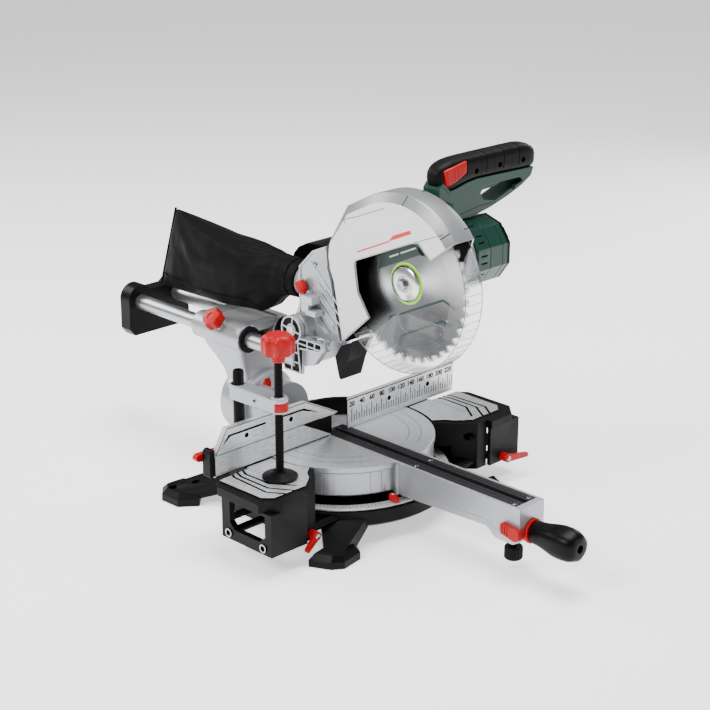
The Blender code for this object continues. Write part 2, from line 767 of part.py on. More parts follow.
def dust_bag(group):
    """The bag's outer shape, open at the neck that slips over the chute."""
    sections = [
        (73, 281, 331, 25), (104, 279, 334, 27), (135, 258, 338, 33), (165, 243, 342, 38),
        (230, 238, 346, 40), (310, 233, 352, 36), (355, 231, 352, 28), (396, 230, 256, 14),
    ]
    shape = bmesh.new()
    rings = []
    for y, low, high, half in sections:
        middle, tall = (low + high) / 2, (high - low) / 2
        ring = []
        for k in range(20):
            angle = math.tau * k / 20
            ring.append(shape.verts.new((2 + half * math.cos(angle), y, middle + tall * math.sin(angle))))
        rings.append(ring)
    for one, two in zip(rings, rings[1:]):
        for k in range(20):
            other = (k + 1) % 20
            shape.faces.new((one[k], one[other], two[other], two[k]))
    shape.faces.new(rings[0])
    shape.faces.new(rings[-1])
    mouth = disc("Y", 2.0, 306.0, 22.0 + GAP, 60, 110, 28)
    node("dust_bag", group, "fabric_black", shape, cuts=[mouth])


def battery(group):
    outline = [(52, 290), (50, 330), (66, 346), (108, 345), (140, 318), (140, 290)]
    node("battery_pack", group, "plastic_black", prism("X", 38.4, 102, outline))


def dust_flap(group):
    sheet = prism("X", -20, 20, [(-43, 248), (-40, 248), (-24, 222), (-16, 190), (-19, 187), (-28, 215)])
    wing = prism("X", -20, -17.6, [(-43, 248), (-20, 237), (-8, 218), (-16, 189), (-30, 215)])
    node("dust_flap", group, "rubber_black", sheet, [wing])


def controls(head):
    group = pivot("trigger_slide", (143.0, HANDLE_Y, 458.0), head)
    shape = box((127, 159), (HANDLE_Y - 8, HANDLE_Y + 8), (455, 464.5))
    node("trigger", group, "plastic_black", shape)
    group = pivot("lock_off_slide", (58.0, HANDLE_Y - 16.0, 480.5), head)
    shape = box((48, 68), (HANDLE_Y - 21, HANDLE_Y - 12.5), (470, 491))
    node("lock_off_button", group, "red", shape)
    along = (Vector((0, 38.6, 313.4)) - Vector((0, 5.4, 266.4))).normalized()
    middle = Vector((-28.5, 33, 285))
    group = pivot("depth_stop_pivot", tuple(middle), head)
    knob = rod(middle + along * 18, middle + along * 36, 7.5, 16)
    screw = rod(middle - along * 26, middle + along * 20, 2.5, 16)
    node("depth_stop_screw", group, "red", knob, [screw])


def lower_guard(head):
    """The clear guard: a channel around the blade's rim, on a ring that turns on the nose."""
    group = pivot("lower_guard_pivot", BLADE, head)
    profile = [
        (45, -17), (GUARD_OUT, -17), (GUARD_OUT, 14.5), (33, 14.5), (33, 12), (116, 12),
        (116, -14.5), (45, -14.5),
    ]
    shape = turned("X", BLADE[1], BLADE[2], profile, 30, 160.0, 325.0)
    ring = turned("X", BLADE[1], BLADE[2], [(27.5, 12.4), (38, 12.4), (38, 14.1), (27.5, 14.1)], 28)
    node("lower_guard", group, "clear", shape, [ring])


def blade_outline():
    """Forty hooked teeth around the rim."""
    points = []
    step = math.tau / BLADE_TEETH
    for k in range(BLADE_TEETH):
        start = k * step
        for part, radius in ((0.0, BLADE_R), (0.34, BLADE_R - 1.2), (0.62, BLADE_R - 7.5), (0.94, BLADE_R - 6.5)):
            angle = start + part * step
            points.append((BLADE[1] + radius * math.cos(angle), BLADE[2] + radius * math.sin(angle)))
    return points


def spinning_parts(head):
    y, z = BLADE[1], BLADE[2]
    group = pivot("blade_pivot", BLADE, head)
    bore = disc("X", y, z, 15.0, -5, 5, 28)
    blade = prism("X", -BLADE_HALF, BLADE_HALF, blade_outline())
    node("saw_blade", group, "steel", blade, cuts=[bore])
    profile = [
        (0, -1.0), (14.6, -1.0), (14.6, 1.5), (24, 1.5), (24, 6), (10, 6), (10, 40), (32.4, 40),
        (32.4, 51), (0, 51),
    ]
    node("blade_spindle", group, "steel", turned("X", y, z, profile, 24))
    profile = [(0, -14), (7.5, -14), (7.5, -7), (22, -6.5), (25, -4), (25, -1.5), (0, -1.5)]
    node("blade_flange", group, "steel", turned("X", y, z, profile, 24))
    group = pivot("rotor_pivot", ROTOR, head)
    y, z = ROTOR[1], ROTOR[2]
    profile = [
        (0, 40), (8.2, 40), (8.2, 51), (5, 51), (5, 74), (22, 74), (22, 102), (5, 102), (5, 124), (0, 124),
    ]
    node("motor_rotor", group, "steel", turned("X", y, z, profile, 20))


def build_head(carriage):
    head = pivot("chop_pivot", CHOP, carriage)
    head_casting(head)
    upper_guard(head)
    motor(head)
    handle(head)
    dust_port(head)
    dust_bag(head)
    battery(head)
    dust_flap(head)
    controls(head)
    lower_guard(head)
    spinning_parts(head)


# The work clamp on its post

def build_clamp(base):
    group = pivot("clamp_slide", (*POST, 200.0), base)
    low, high = 192.5, 214.0
    beam = hull(
        [Vector((a, b, z)) for a, b in circle(*POST, 11.8, 20) for z in (low, high)]
        + [Vector((a, b, z)) for a, b in circle(*CLAMP_SCREW, 12.0, 20) for z in (low, high)]
    )
    cuts = [
        disc("Z", *POST, 7.6 + GAP, 180, 230, 20),
        disc("Z", *CLAMP_SCREW, 5.7 + GAP, 180, 230, 16),
    ]
    node("clamp_arm", group, "silver_paint", beam, cuts=cuts)
    group = pivot("clamp_screw_slide", (*CLAMP_SCREW, 200.0), group)
    node("clamp_screw", group, "plastic_black", disc("Z", *CLAMP_SCREW, 5.7, 110.3, 262.0, 20))
    profile = [(0, 262.3), (8, 262.3), (9, 268), (20, 272), (22, 276), (22, 294), (18, 300), (0, 300)]
    node("clamp_knob", group, "red", turned("Z", *CLAMP_SCREW, profile, 20))
    profile = [(0, 100.4), (23.5, 100.4), (24, 103), (10, 107), (9, 110), (0, 110)]
    node("clamp_pad", group, "rubber_black", turned("Z", *CLAMP_SCREW, profile, 24))


def main():
    clear_scene()
    base = build_base()
    build_extensions(base)
    upper_fence(base)
    fence_lock(base)
    table = build_turntable(base)
    column = build_column(table)
    carriage = build_carriage(column)
    build_head(carriage)
    build_clamp(base)


main()
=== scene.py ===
"""Looks for the cordless sliding mitre saw.

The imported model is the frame. Every piece below is built in the row's frame, in millimetres,
and rides on the body of the CAD node that it stands for.
"""
import json
import math

import bmesh
import bpy
from mathutils import Matrix, Vector


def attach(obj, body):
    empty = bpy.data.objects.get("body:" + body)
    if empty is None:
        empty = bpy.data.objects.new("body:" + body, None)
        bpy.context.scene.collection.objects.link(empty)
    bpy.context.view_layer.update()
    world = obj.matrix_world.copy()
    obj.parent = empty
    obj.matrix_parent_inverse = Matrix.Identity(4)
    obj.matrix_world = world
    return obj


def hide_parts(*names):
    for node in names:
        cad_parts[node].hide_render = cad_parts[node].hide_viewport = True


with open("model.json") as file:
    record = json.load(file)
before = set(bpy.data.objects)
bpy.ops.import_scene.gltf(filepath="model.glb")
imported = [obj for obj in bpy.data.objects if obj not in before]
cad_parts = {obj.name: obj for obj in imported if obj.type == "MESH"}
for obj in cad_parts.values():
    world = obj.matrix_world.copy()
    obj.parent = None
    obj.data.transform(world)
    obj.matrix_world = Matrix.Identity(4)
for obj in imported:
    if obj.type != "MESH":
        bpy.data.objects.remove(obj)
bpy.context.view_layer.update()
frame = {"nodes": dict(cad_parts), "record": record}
NODES = frame["nodes"]
RECORD = frame["record"]
BODY_OF = {
    node: body for body, nodes in RECORD["behaviour"]["bodies"].items() for node in nodes
}
MM = 0.001

# Places shared by several pieces, in millimetres
TABLE_Z = 100.0
TABLE_R = 131.5
BLADE = (-123.5, 344.4)
BLADE_R = 108.0
TEETH = 40
CHOP = (50.0, 250.0)
RAIL_X = 35.0
RAIL_Z = 207.0
BEVEL_Y = 150.0
ROTOR = (-150.0, 376.0)
HANDLE_Y = -140.0
GRIP_Z = 64.0
POST = (-173.0, 18.0)
CLAMP = (-170.0, -58.0)
DOME_R = 124.0
RAIL_BORE = 11.8
TUBE_Z = 38.0
PORT = (2.0, 306.0)
# Prints stand this high off a face
SKIN = 0.14


# Finishes

def fill(tree, target, values):
    """Put a constant or a link in each named input of a node."""
    for key, value in values.items():
        if isinstance(value, bpy.types.NodeSocket):
            tree.links.new(value, target.inputs[key])
        else:
            target.inputs[key].default_value = value
    return target


def add_node(tree, kind, inputs=None, **settings):
    made = tree.nodes.new(f"ShaderNode{kind}")
    for key, value in settings.items():
        setattr(made, key, value)
    return fill(tree, made, inputs or {})


def base_nodes(name):
    """A new material with object coordinates ready to use."""
    material = bpy.data.materials.new(name)
    material.use_nodes = True
    tree = material.node_tree
    place = add_node(tree, "TexCoord").outputs["Object"]
    return material, tree, tree.nodes["Principled BSDF"], place


def noise(tree, vector, scale, detail=3.0, stretch=None):
    if stretch:
        vector = add_node(tree, "Mapping", {"Scale": stretch, "Vector": vector}).outputs["Vector"]
    texture = add_node(tree, "TexNoise", {"Scale": scale, "Detail": detail, "Vector": vector})
    return texture.outputs["Fac"]


def between(tree, factor, low, high, start=0.3, end=0.7):
    """A number that runs from low to high as the factor does from start to end."""
    return add_node(tree, "MapRange", {
        "From Min": start, "From Max": end, "To Min": low, "To Max": high, "Value": factor,
    }).outputs["Result"]


def blend_colours(tree, factor, one, two):
    """A colour, or a colour socket, mixed with a second colour by a factor."""
    if isinstance(one, tuple):
        one = (*one, 1.0)
    mix = add_node(tree, "Mix", {"A": one, "B": (*two, 1.0), "Factor": factor}, data_type="RGBA")
    return mix.outputs["Result"]


def bump(tree, shader, height, strength, distance):
    relief = {"Strength": strength, "Distance": distance, "Height": height}
    fill(tree, shader, {"Normal": add_node(tree, "Bump", relief).outputs["Normal"]})


def finish(name, colour, rough, metal=0.0, vary=0.05, rough_vary=0.06, grain=900.0,
           strength=0.2, depth=0.0001, stretch=None, wear=None, sockets=None):
    """A solid finish: colour drift, uneven gloss, a fine grain, and edges worn to a colour."""
    material, tree, shader, place = base_nodes(name)
    broad = noise(tree, place, 14.0, 2.0)
    fine = noise(tree, place, grain, 3.0, stretch)
    dark = tuple(part * (1.0 - vary) for part in colour)
    light = tuple(min(1.0, part * (1.0 + vary)) for part in colour)
    tint = blend_colours(tree, between(tree, broad, 0.0, 1.0), dark, light)
    if wear:
        corners = add_node(tree, "NewGeometry").outputs["Pointiness"]
        tint = blend_colours(tree, between(tree, corners, 0.0, 0.6, 0.54, 0.62), tint, wear)
    gloss = between(tree, fine, max(0.02, rough - rough_vary), rough + rough_vary)
    fill(tree, shader, {
        "Metallic": metal, "Base Color": tint, "Roughness": gloss, **(sockets or {}),
    })
    bump(tree, shader, fine, strength, depth)
    return material


def ground_disc(name, colour, rough, strength, anisotropy=0.0, highlight_angle=None):
    """Steel ground in rings round the blade's axis, with an optional painted highlight: the colour
    brightens along one line through the axis.
    """
    material, tree, shader, place = base_nodes(name)
    centre = (0.0, BLADE[0] * MM, BLADE[1] * MM)
    away = add_node(tree, "VectorMath", {0: place, 1: centre}, operation="SUBTRACT")
    flat = add_node(tree, "VectorMath", {0: away.outputs["Vector"], 1: (0.0, 1.0, 1.0)},
                    operation="MULTIPLY").outputs["Vector"]
    reach = add_node(tree, "VectorMath", {0: flat}, operation="LENGTH").outputs["Value"]
    tint = (*colour, 1.0)
    # Painted highlight: the base colour brightens along one line through the hub, standing in for
    # the blade's reflected streak.
    if highlight_angle:
        line = add_node(tree, "VectorMath", {0: flat}, operation="NORMALIZE").outputs["Vector"]
        highlight_way = (0.0, math.cos(highlight_angle), math.sin(highlight_angle))
        along = add_node(tree, "VectorMath", {0: line, 1: highlight_way},
                         operation="DOT_PRODUCT").outputs["Value"]
        square = add_node(tree, "Math", {0: along, 1: along}, operation="MULTIPLY")
        painted_highlight = add_node(tree, "Math", {0: square.outputs["Value"], 1: 7.0}, operation="POWER")
        highlight_colour = tuple(min(0.95, part * 5.0) for part in colour)
        tint = blend_colours(tree, painted_highlight.outputs["Value"], colour, highlight_colour)
    rings = add_node(tree, "TexNoise", {"Scale": 1400.0, "Detail": 4.0, "W": reach},
                     noise_dimensions="1D").outputs["Fac"]
    fill(tree, shader, {
        "Metallic": 1.0, "Base Color": tint, "Anisotropic": anisotropy,
        "Roughness": between(tree, rings, rough - 0.07, rough + 0.07),
    })
    if anisotropy:
        tangent = add_node(tree, "Tangent", direction_type="RADIAL", axis="X")
        fill(tree, shader, {"Tangent": tangent.outputs["Tangent"]})
    bump(tree, shader, rings, strength, 0.00005)
    return material


def woven(name, colour, pitch):
    """Close woven polyester: two crossed sets of threads, with soft creases in the gloss."""
    material, tree, shader, place = base_nodes(name)
    threads = []
    for direction in ("Y", "Z"):
        inputs = {"Scale": 0.31416 / pitch, "Distortion": 0.6, "Detail": 1.0, "Vector": place}
        wave = add_node(tree, "TexWave", inputs, wave_type="BANDS", bands_direction=direction)
        threads.append(wave.outputs["Fac"])
    weave = add_node(tree, "Math", {0: threads[0], 1: threads[1]},
                     operation="MULTIPLY").outputs["Value"]
    dark = tuple(part * 0.6 for part in colour)
    light = tuple(part * 1.6 for part in colour)
    fill(tree, shader, {
        "Sheen Weight": 0.01, "Sheen Roughness": 0.4, "Specular IOR Level": 0.08,
        "Base Color": blend_colours(tree, weave, dark, light),
        "Roughness": between(tree, noise(tree, place, 30.0, 3.0), 0.55, 0.75),
    })
    bump(tree, shader, weave, 0.35, 0.0002)
    return material


def clear_plastic(name):
    material, tree, shader, place = base_nodes(name)
    scratches = noise(tree, place, 240.0, 4.0, (1.0, 3.0, 1.0))
    fill(tree, shader, {
        "Transmission Weight": 1.0, "IOR": 1.12, "Alpha": 0.42, "Coat Weight": 0.9,
        "Coat Roughness": 0.04, "Specular IOR Level": 0.8,
        "Base Color": blend_colours(tree, scratches, (0.90, 0.92, 0.93), (0.99, 1.0, 1.0)),
        "Roughness": between(tree, scratches, 0.02, 0.05),
    })
    return material


BRUSH = (0.03, 1.0, 1.0)
DULL = {"Specular IOR Level": 0.11}
BLACK = (0.0020, 0.0020, 0.0023)
WORN_BLACK = (0.008, 0.008, 0.009)
INK = {"grain": 1500.0, "strength": 0.05}
SHEET = {"grain": 2200.0, "strength": 0.12, "depth": 0.00006, "stretch": BRUSH, "vary": 0.03,
         "rough_vary": 0.09}
# Colour, roughness and whatever differs from a plain painted finish
FINISHES = {
    "cast_black": (BLACK, 0.44, {"grain": 1300.0, "strength": 0.35, "depth": 0.00012,
                                 "vary": 0.15, "wear": WORN_BLACK, "sockets": DULL}),
    "plastic_black": ((0.0014, 0.0014, 0.0017), 0.38, {
        "grain": 1800.0, "vary": 0.12, "wear": (0.007, 0.007, 0.008), "sockets": DULL}),
    "rubber_black": (BLACK, 0.50, {"grain": 1500.0, "strength": 0.4, "vary": 0.15,
                                   "wear": WORN_BLACK, "sockets": DULL}),
    "silver_paint": ((0.36, 0.37, 0.39), 0.33, {
        "metal": 0.55, "grain": 1100.0, "strength": 0.14, "vary": 0.03,
        "wear": (0.72, 0.73, 0.75)}),
    "cast_silver": ((0.40, 0.41, 0.43), 0.36, {
        "metal": 0.6, "grain": 700.0, "strength": 0.3, "depth": 0.00015,
        "wear": (0.74, 0.75, 0.77)}),
    "brushed": ((0.74, 0.75, 0.77), 0.30, {"metal": 0.55, **SHEET}),
    "table": ((0.68, 0.69, 0.71), 0.30, {"metal": 0.7, **SHEET}),
    "chrome": ((0.44, 0.45, 0.47), 0.36, {
        "metal": 1.0, "strength": 0.05, "vary": 0.02, "rough_vary": 0.05}),
    "steel": ((0.42, 0.43, 0.45), 0.27, {"metal": 1.0, "strength": 0.08}),
    "cover_white": ((0.72, 0.725, 0.73), 0.32, {
        "metal": 0.1, "grain": 1400.0, "strength": 0.10, "vary": 0.015}),
    # Darker grey for the cover's rim, chamfer and lip: painted shade on the faces turned away from
    # the sides.
    "cover_rim_painted_shade": ((0.23, 0.235, 0.24), 0.34, {
        "metal": 0.35, "grain": 1400.0, "strength": 0.10, "vary": 0.03,
        "wear": (0.62, 0.63, 0.64)}),
    "green": ((0.0022, 0.032, 0.021), 0.33, {
        "grain": 1500.0, "strength": 0.16, "vary": 0.08, "wear": (0.012, 0.085, 0.060),
        "sockets": {"Specular IOR Level": 0.42}}),
    "red": ((0.36, 0.0015, 0.0025), 0.38, {
        "grain": 1500.0, "strength": 0.12, "wear": (0.46, 0.006, 0.008),
        "sockets": {"Specular IOR Level": 0.2}}),
    "kerf_grey": ((0.012, 0.012, 0.0135), 0.42, {
        "grain": 1600.0, "stretch": (1.0, 0.04, 1.0), "vary": 0.08,
        "sockets": {"Specular IOR Level": 0.3}}),
    # Grey for the arcs drawn in place of the table's engraved grooves: their duller finish and
    # painted groove shade.
    "groove_finish_and_shade": ((0.16, 0.165, 0.17), 0.45, {"metal": 0.3, **INK}),
    # Grey for the clear guard's edge wires and ribs: painted shade for the dark lines light makes
    # at the plastic's edges.
    "guard_edge_painted_shade": ((0.24, 0.25, 0.26), 0.15, {
        "grain": 700.0, "strength": 0.05, "vary": 0.03,
        "sockets": {"Alpha": 0.8, "Transmission Weight": 0.1}}),
    # Black print ink, also used as painted shade in grooves, on plate sides and inside holes.
    "ink_and_painted_shade": ((0.0008, 0.0008, 0.0009), 0.6, {**INK, "sockets": {"Specular IOR Level": 0.02}}),
    "ink_green": ((0.001, 0.026, 0.016), 0.42, INK),
    "ink_red": ((0.60, 0.004, 0.006), 0.42, INK),
    "ink_lime": ((0.30, 0.78, 0.005), 0.4, INK),
    "ink_white": ((0.80, 0.80, 0.80), 0.45, INK),
    # Near-black for dark seams, and painted shade in slots, holes, groove floors and the inside of
    # the cover.
    "dark_seam_and_painted_shade": ((0.004, 0.004, 0.0045), 0.6, {"grain": 1300.0, "sockets": DULL}),
}
MATERIAL = {
    name: finish(name, colour, rough, **more)
    for name, (colour, rough, more) in FINISHES.items()
}
MATERIAL["fabric_black"] = woven("fabric_black", (0.0016, 0.0016, 0.0018), 0.0009)
MATERIAL["clear"] = clear_plastic("clear")
# The blade's last argument sets the direction of its painted highlight.
MATERIAL["blade"] = ground_disc("blade", (0.115, 0.118, 0.122), 0.30, 0.25, 0.6,
                                math.radians(164))
MATERIAL["flange"] = ground_disc("flange", (0.78, 0.79, 0.80), 0.24, 0.10)


# Shapes, in millimetres

def lift(axis, u, v, w):
    """The point with w along the axis, and u and v along the two others, in X, Y, Z order."""
    if axis == "X":
        return Vector((w, u, v))
    if axis == "Y":
        return Vector((u, w, v))
    return Vector((u, v, w))


def prism(axis, low, high, outline):
    shape = bmesh.new()
    ends = []
    for w in (low, high):
        ring = [shape.verts.new(lift(axis, u, v, w)) for u, v in outline]
        ends.append(ring)
        shape.faces.new(ring)
    count = len(outline)
    for k in range(count):
        other = (k + 1) % count
        shape.faces.new((ends[0][k], ends[0][other], ends[1][other], ends[1][k]))
    return shape


def box(x, y, z):
    return prism("Z", z[0], z[1], [(x[0], y[0]), (x[1], y[0]), (x[1], y[1]), (x[0], y[1])])


def circle(u, v, radius, sides, start=0.0):
    return [
        (u + radius * math.cos(start + math.tau * k / sides),
         v + radius * math.sin(start + math.tau * k / sides))
        for k in range(sides)
    ]


def arc(u, v, radius, first, last, steps):
    points = []
    for k in range(steps + 1):
        angle = math.radians(first + (last - first) * k / steps)
        points.append((u + radius * math.cos(angle), v + radius * math.sin(angle)))
    return points


def disc(axis, u, v, radius, low, high, sides=40):
    return prism(axis, low, high, circle(u, v, radius, sides))


def turned(axis, u, v, profile, sides=48, first=0.0, last=360.0, ripple=None):
    """A closed profile of (radius, distance along the axis), spun about the axis.

    ripple(angle in degrees, radius, distance) gives the radius at that place.
    """
    shape = bmesh.new()
    whole = last - first >= 360.0
    count = sides if whole else sides + 1
    rings = []
    for radius, w in profile:
        if radius == 0.0:
            rings.append([shape.verts.new(lift(axis, u, v, w))])
            continue
        ring = []
        for k in range(count):
            degrees = first + (last - first) * k / sides
            reach = ripple(degrees, radius, w) if ripple else radius
            angle = math.radians(degrees)
            spot = lift(axis, u + reach * math.cos(angle), v + reach * math.sin(angle), w)
            ring.append(shape.verts.new(spot))
        rings.append(ring)
    closed = profile[0][0] > 0.0
    for one, two in zip(rings, rings[1:] + rings[:1] if closed else rings[1:]):
        for k in range(sides):
            other = (k + 1) % count
            a, b = one[k % len(one)], one[other % len(one)]
            c, d = two[other % len(two)], two[k % len(two)]
            corners = []
            for corner in (a, b, c, d):
                if corner not in corners:
                    corners.append(corner)
            if len(corners) > 2:
                shape.faces.new(corners)
    if not whole:
        shape.faces.new([ring[0] for ring in rings])
        shape.faces.new([ring[-1] for ring in rings])
    return shape


def hull(points):
    shape = bmesh.new()
    for point in points:
        shape.verts.new(point)
    result = bmesh.ops.convex_hull(shape, input=shape.verts)
    loose = {item for item in result["geom_interior"] if isinstance(item, bmesh.types.BMVert)}
    bmesh.ops.delete(shape, geom=list(loose), context="VERTS")
    bmesh.ops.dissolve_limit(
        shape, angle_limit=math.radians(1), verts=shape.verts, edges=shape.edges
    )
    return shape


def tube_frame(start, end):
    along = (end - start).normalized()
    side = along.orthogonal().normalized()
    return side, along.cross(side)


def rod(start, end, radius, sides=24, end_radius=None):
    start, end = Vector(start), Vector(end)
    side, across = tube_frame(start, end)
    shape = bmesh.new()
    rings = []
    for centre, size in ((start, radius), (end, end_radius or radius)):
        ring = []
        for k in range(sides):
            angle = math.tau * k / sides
            spot = centre + (side * math.cos(angle) + across * math.sin(angle)) * size
            ring.append(shape.verts.new(spot))
        rings.append(ring)
        shape.faces.new(ring)
    for k in range(sides):
        other = (k + 1) % sides
        shape.faces.new((rings[0][k], rings[0][other], rings[1][other], rings[1][k]))
    return shape


def loft(rings, closed_ends=True):
    """Skin a list of equal rings of points."""
    shape = bmesh.new()
    made = [[shape.verts.new(point) for point in ring] for ring in rings]
    count = len(made[0])
    for one, two in zip(made, made[1:]):
        for k in range(count):
            other = (k + 1) % count
            shape.faces.new((one[k], one[other], two[other], two[k]))
    if closed_ends:
        shape.faces.new(made[0])
        shape.faces.new(made[-1])
    return shape


def wire(points, radius, sides=10):
    """A round bar along a path."""
    rings = []
    count = len(points)
    up = Vector((0.31, 0.17, 0.93)).normalized()
    for k, point in enumerate(points):
        ahead = Vector(points[min(count - 1, k + 1)]) - Vector(points[max(0, k - 1)])
        side = ahead.cross(up).normalized()
        across = ahead.cross(side).normalized()
        rings.append([
            Vector(point) + (side * math.cos(math.tau * j / sides)
                             + across * math.sin(math.tau * j / sides)) * radius
            for j in range(sides)
        ])
    return loft(rings)


def ribbon(points, width):
    """The outline of a line of some width through points in a plane."""
    left, right = [], []
    count = len(points)
    for k in range(count):
        before = Vector(points[max(0, k - 1)])
        here = Vector(points[k])
        after = Vector(points[min(count - 1, k + 1)])
        one = (here - before).normalized() if k else (after - here).normalized()
        two = (after - here).normalized() if k < count - 1 else one
        across = Vector((-(one + two).y, (one + two).x)).normalized()
        reach = width / 2 / max(0.4, across.dot(Vector((-one.y, one.x))))
        left.append(tuple(here + across * reach))
        right.append(tuple(here - across * reach))
    return left + right[::-1]


def join(*shapes):
    whole = bmesh.new()
    for shape in shapes:
        mesh = bpy.data.meshes.new("joined")
        shape.to_mesh(mesh)
        shape.free()
        whole.from_mesh(mesh)
        bpy.data.meshes.remove(mesh)
    return whole


def moved(shape, matrix):
    bmesh.ops.transform(shape, matrix=matrix, verts=shape.verts)
    return shape


def heading(degrees):
    angle = math.radians(degrees)
    return Vector((math.cos(angle), math.sin(angle)))


def facing(at, axis):
    """Stands a shape drawn along Z on a point, facing along an axis."""
    turn = Vector((0, 0, 1)).rotation_difference(Vector(axis).normalized())
    return Matrix.Translation(Vector(at)) @ turn.to_matrix().to_4x4()


def flutes(count, depth, least):
    """A ripple for turned(): flutes round a grip, wherever its radius is above the least."""
    def reach(degrees, radius, place):
        if radius <= least:
            return radius
        return radius * (1 - depth + depth * math.cos(math.radians(degrees * count)))
    return reach


def flat_arm(ends, low, high):
    """A bar between rounded ends (X, Z, radius), from low to high along Y."""
    return hull([Vector((a, w, b)) for u, v, size in ends for w in (low, high)
                 for a, b in circle(u, v, size, 20)])


def scratch(shape):
    bmesh.ops.recalc_face_normals(shape, faces=shape.faces)
    mesh = bpy.data.meshes.new("scratch")
    shape.to_mesh(mesh)
    shape.free()
    thing = bpy.data.objects.new("scratch", mesh)
    bpy.context.collection.objects.link(thing)
    return thing


def carve(shape, cuts=(), adds=()):
    """The shape with other solids joined to it and then cut from it."""
    thing = scratch(shape)
    tools = []
    for operation, items in (("UNION", adds), ("DIFFERENCE", cuts)):
        for item in items:
            tool = scratch(item)
            tools.append(tool)
            modifier = thing.modifiers.new("carve", "BOOLEAN")
            modifier.operation = operation
            modifier.solver = "EXACT"
            modifier.object = tool
    done = bmesh.new()
    done.from_object(thing, bpy.context.evaluated_depsgraph_get())
    for item in [thing, *tools]:
        mesh = item.data
        bpy.data.objects.remove(item, do_unlink=True)
        bpy.data.meshes.remove(mesh)
    bmesh.ops.remove_doubles(done, verts=done.verts, dist=0.005)
    bmesh.ops.dissolve_limit(
        done, angle_limit=math.radians(0.6), verts=done.verts, edges=done.edges
    )
    return done


def piece(name, shape, node, mats, stands=True, bevel=0.0, segments=2, sharp=32.0, pick=None,
          subdiv=0, thick=0.0, inner=None, limit=28.0, keep_normals=False):
    """Finish a shape as a piece on the node's body.

    pick(centre, normal) gives the material's place in mats for a face.
    """
    if not keep_normals:
        bmesh.ops.recalc_face_normals(shape, faces=shape.faces)
    if pick:
        for face in shape.faces:
            face.material_index = pick(face.calc_center_median(), face.normal)
    for vertex in shape.verts:
        vertex.co *= MM
    mesh = bpy.data.meshes.new(name)
    shape.to_mesh(mesh)
    shape.free()
    for key in mats:
        mesh.materials.append(MATERIAL[key])
    mesh.shade_smooth()
    mesh.set_sharp_from_angle(angle=math.radians(sharp))
    thing = bpy.data.objects.new(name, mesh)
    bpy.context.collection.objects.link(thing)
    if thick:
        skin = thing.modifiers.new("wall", "SOLIDIFY")
        skin.thickness = thick * MM
        skin.offset = -1.0
        skin.use_even_offset = True
        if inner is not None:
            skin.material_offset = inner
    if bevel:
        edge = thing.modifiers.new("edges", "BEVEL")
        edge.width = bevel * MM
        edge.segments = segments
        edge.limit_method = "ANGLE"
        edge.angle_limit = math.radians(limit)
        edge.miter_outer = "MITER_ARC"
        edge.harden_normals = True
    if subdiv:
        smooth = thing.modifiers.new("smooth", "SUBSURF")
        smooth.levels = subdiv
        smooth.render_levels = subdiv
    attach(thing, BODY_OF[node])
    if stands:
        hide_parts(node)
    return thing


def refined(node, mats, bevel=0.5, segments=2, pick=None, cuts=(), adds=(), sharp=32.0):
    """A CAD node's own solid with its edges rounded, and details joined or cut."""
    shape = bmesh.new()
    shape.from_mesh(NODES[node].data)
    for vertex in shape.verts:
        vertex.co /= MM
    bmesh.ops.remove_doubles(shape, verts=shape.verts, dist=0.005)
    if cuts or adds:
        shape = carve(shape, cuts, adds)
    else:
        bmesh.ops.dissolve_limit(
            shape, angle_limit=math.radians(0.6), verts=shape.verts, edges=shape.edges
        )
    return piece(f"{node}_body", shape, node, mats, bevel=bevel, segments=segments, pick=pick,
                 sharp=sharp)


def digits(text, size, matrix, depth=SKIN):
    """Printed numbers as a thin skin, laid in place by a matrix in millimetres."""
    curve = bpy.data.curves.new("digits", "FONT")
    curve.body = text
    curve.size = size
    curve.align_x = "CENTER"
    curve.align_y = "CENTER"
    curve.extrude = depth / 2
    curve.offset = size * 0.036
    curve.resolution_u = 3
    thing = bpy.data.objects.new("digits", curve)
    bpy.context.collection.objects.link(thing)
    shown = thing.evaluated_get(bpy.context.evaluated_depsgraph_get())
    mesh = bpy.data.meshes.new_from_object(shown)
    shape = bmesh.new()
    shape.from_mesh(mesh)
    bpy.data.objects.remove(thing, do_unlink=True)
    bpy.data.curves.remove(curve)
    bpy.data.meshes.remove(mesh)
    return moved(shape, matrix)


def screw(at, axis, radius, height=1.6):
    """A pan head with a cross recess, standing on a point and facing along an axis."""
    head = turned("Z", 0, 0, [
        (0, 0), (radius, 0), (radius, height * 0.45), (radius * 0.86, height * 0.85),
        (radius * 0.5, height), (0, height),
    ], 20)
    slots = [
        box((-radius * 0.62, radius * 0.62), (-radius * 0.14, radius * 0.14), (height * 0.35, 9)),
        box((-radius * 0.14, radius * 0.14), (-radius * 0.62, radius * 0.62), (height * 0.35, 9)),
    ]
    return moved(carve(head, slots), facing(at, axis))


# Stage

MIDDLE = Vector((0.0, 0.0, 0.2))


def stage_floor():
    shape = bmesh.new()
    reach = 6.0
    ring = [shape.verts.new((x, y, 0.0)) for x, y in
            ((-reach, -reach), (reach, -reach), (reach, reach), (-reach, reach))]
    shape.faces.new(ring)
    mesh = bpy.data.meshes.new("floor")
    shape.to_mesh(mesh)
    shape.free()
    material, tree, shader, place = base_nodes("floor")
    speck = noise(tree, place, 3.0, 2.0)
    fill(tree, shader, {
        "Base Color": blend_colours(tree, speck, (0.93, 0.93, 0.93), (0.96, 0.96, 0.96)),
        "Roughness": 0.9, "Specular IOR Level": 0.1,
        "Emission Color": (1.0, 1.0, 1.0, 1.0), "Emission Strength": 0.80,
    })
    mesh.materials.append(material)
    thing = bpy.data.objects.new("floor", mesh)
    bpy.context.collection.objects.link(thing)


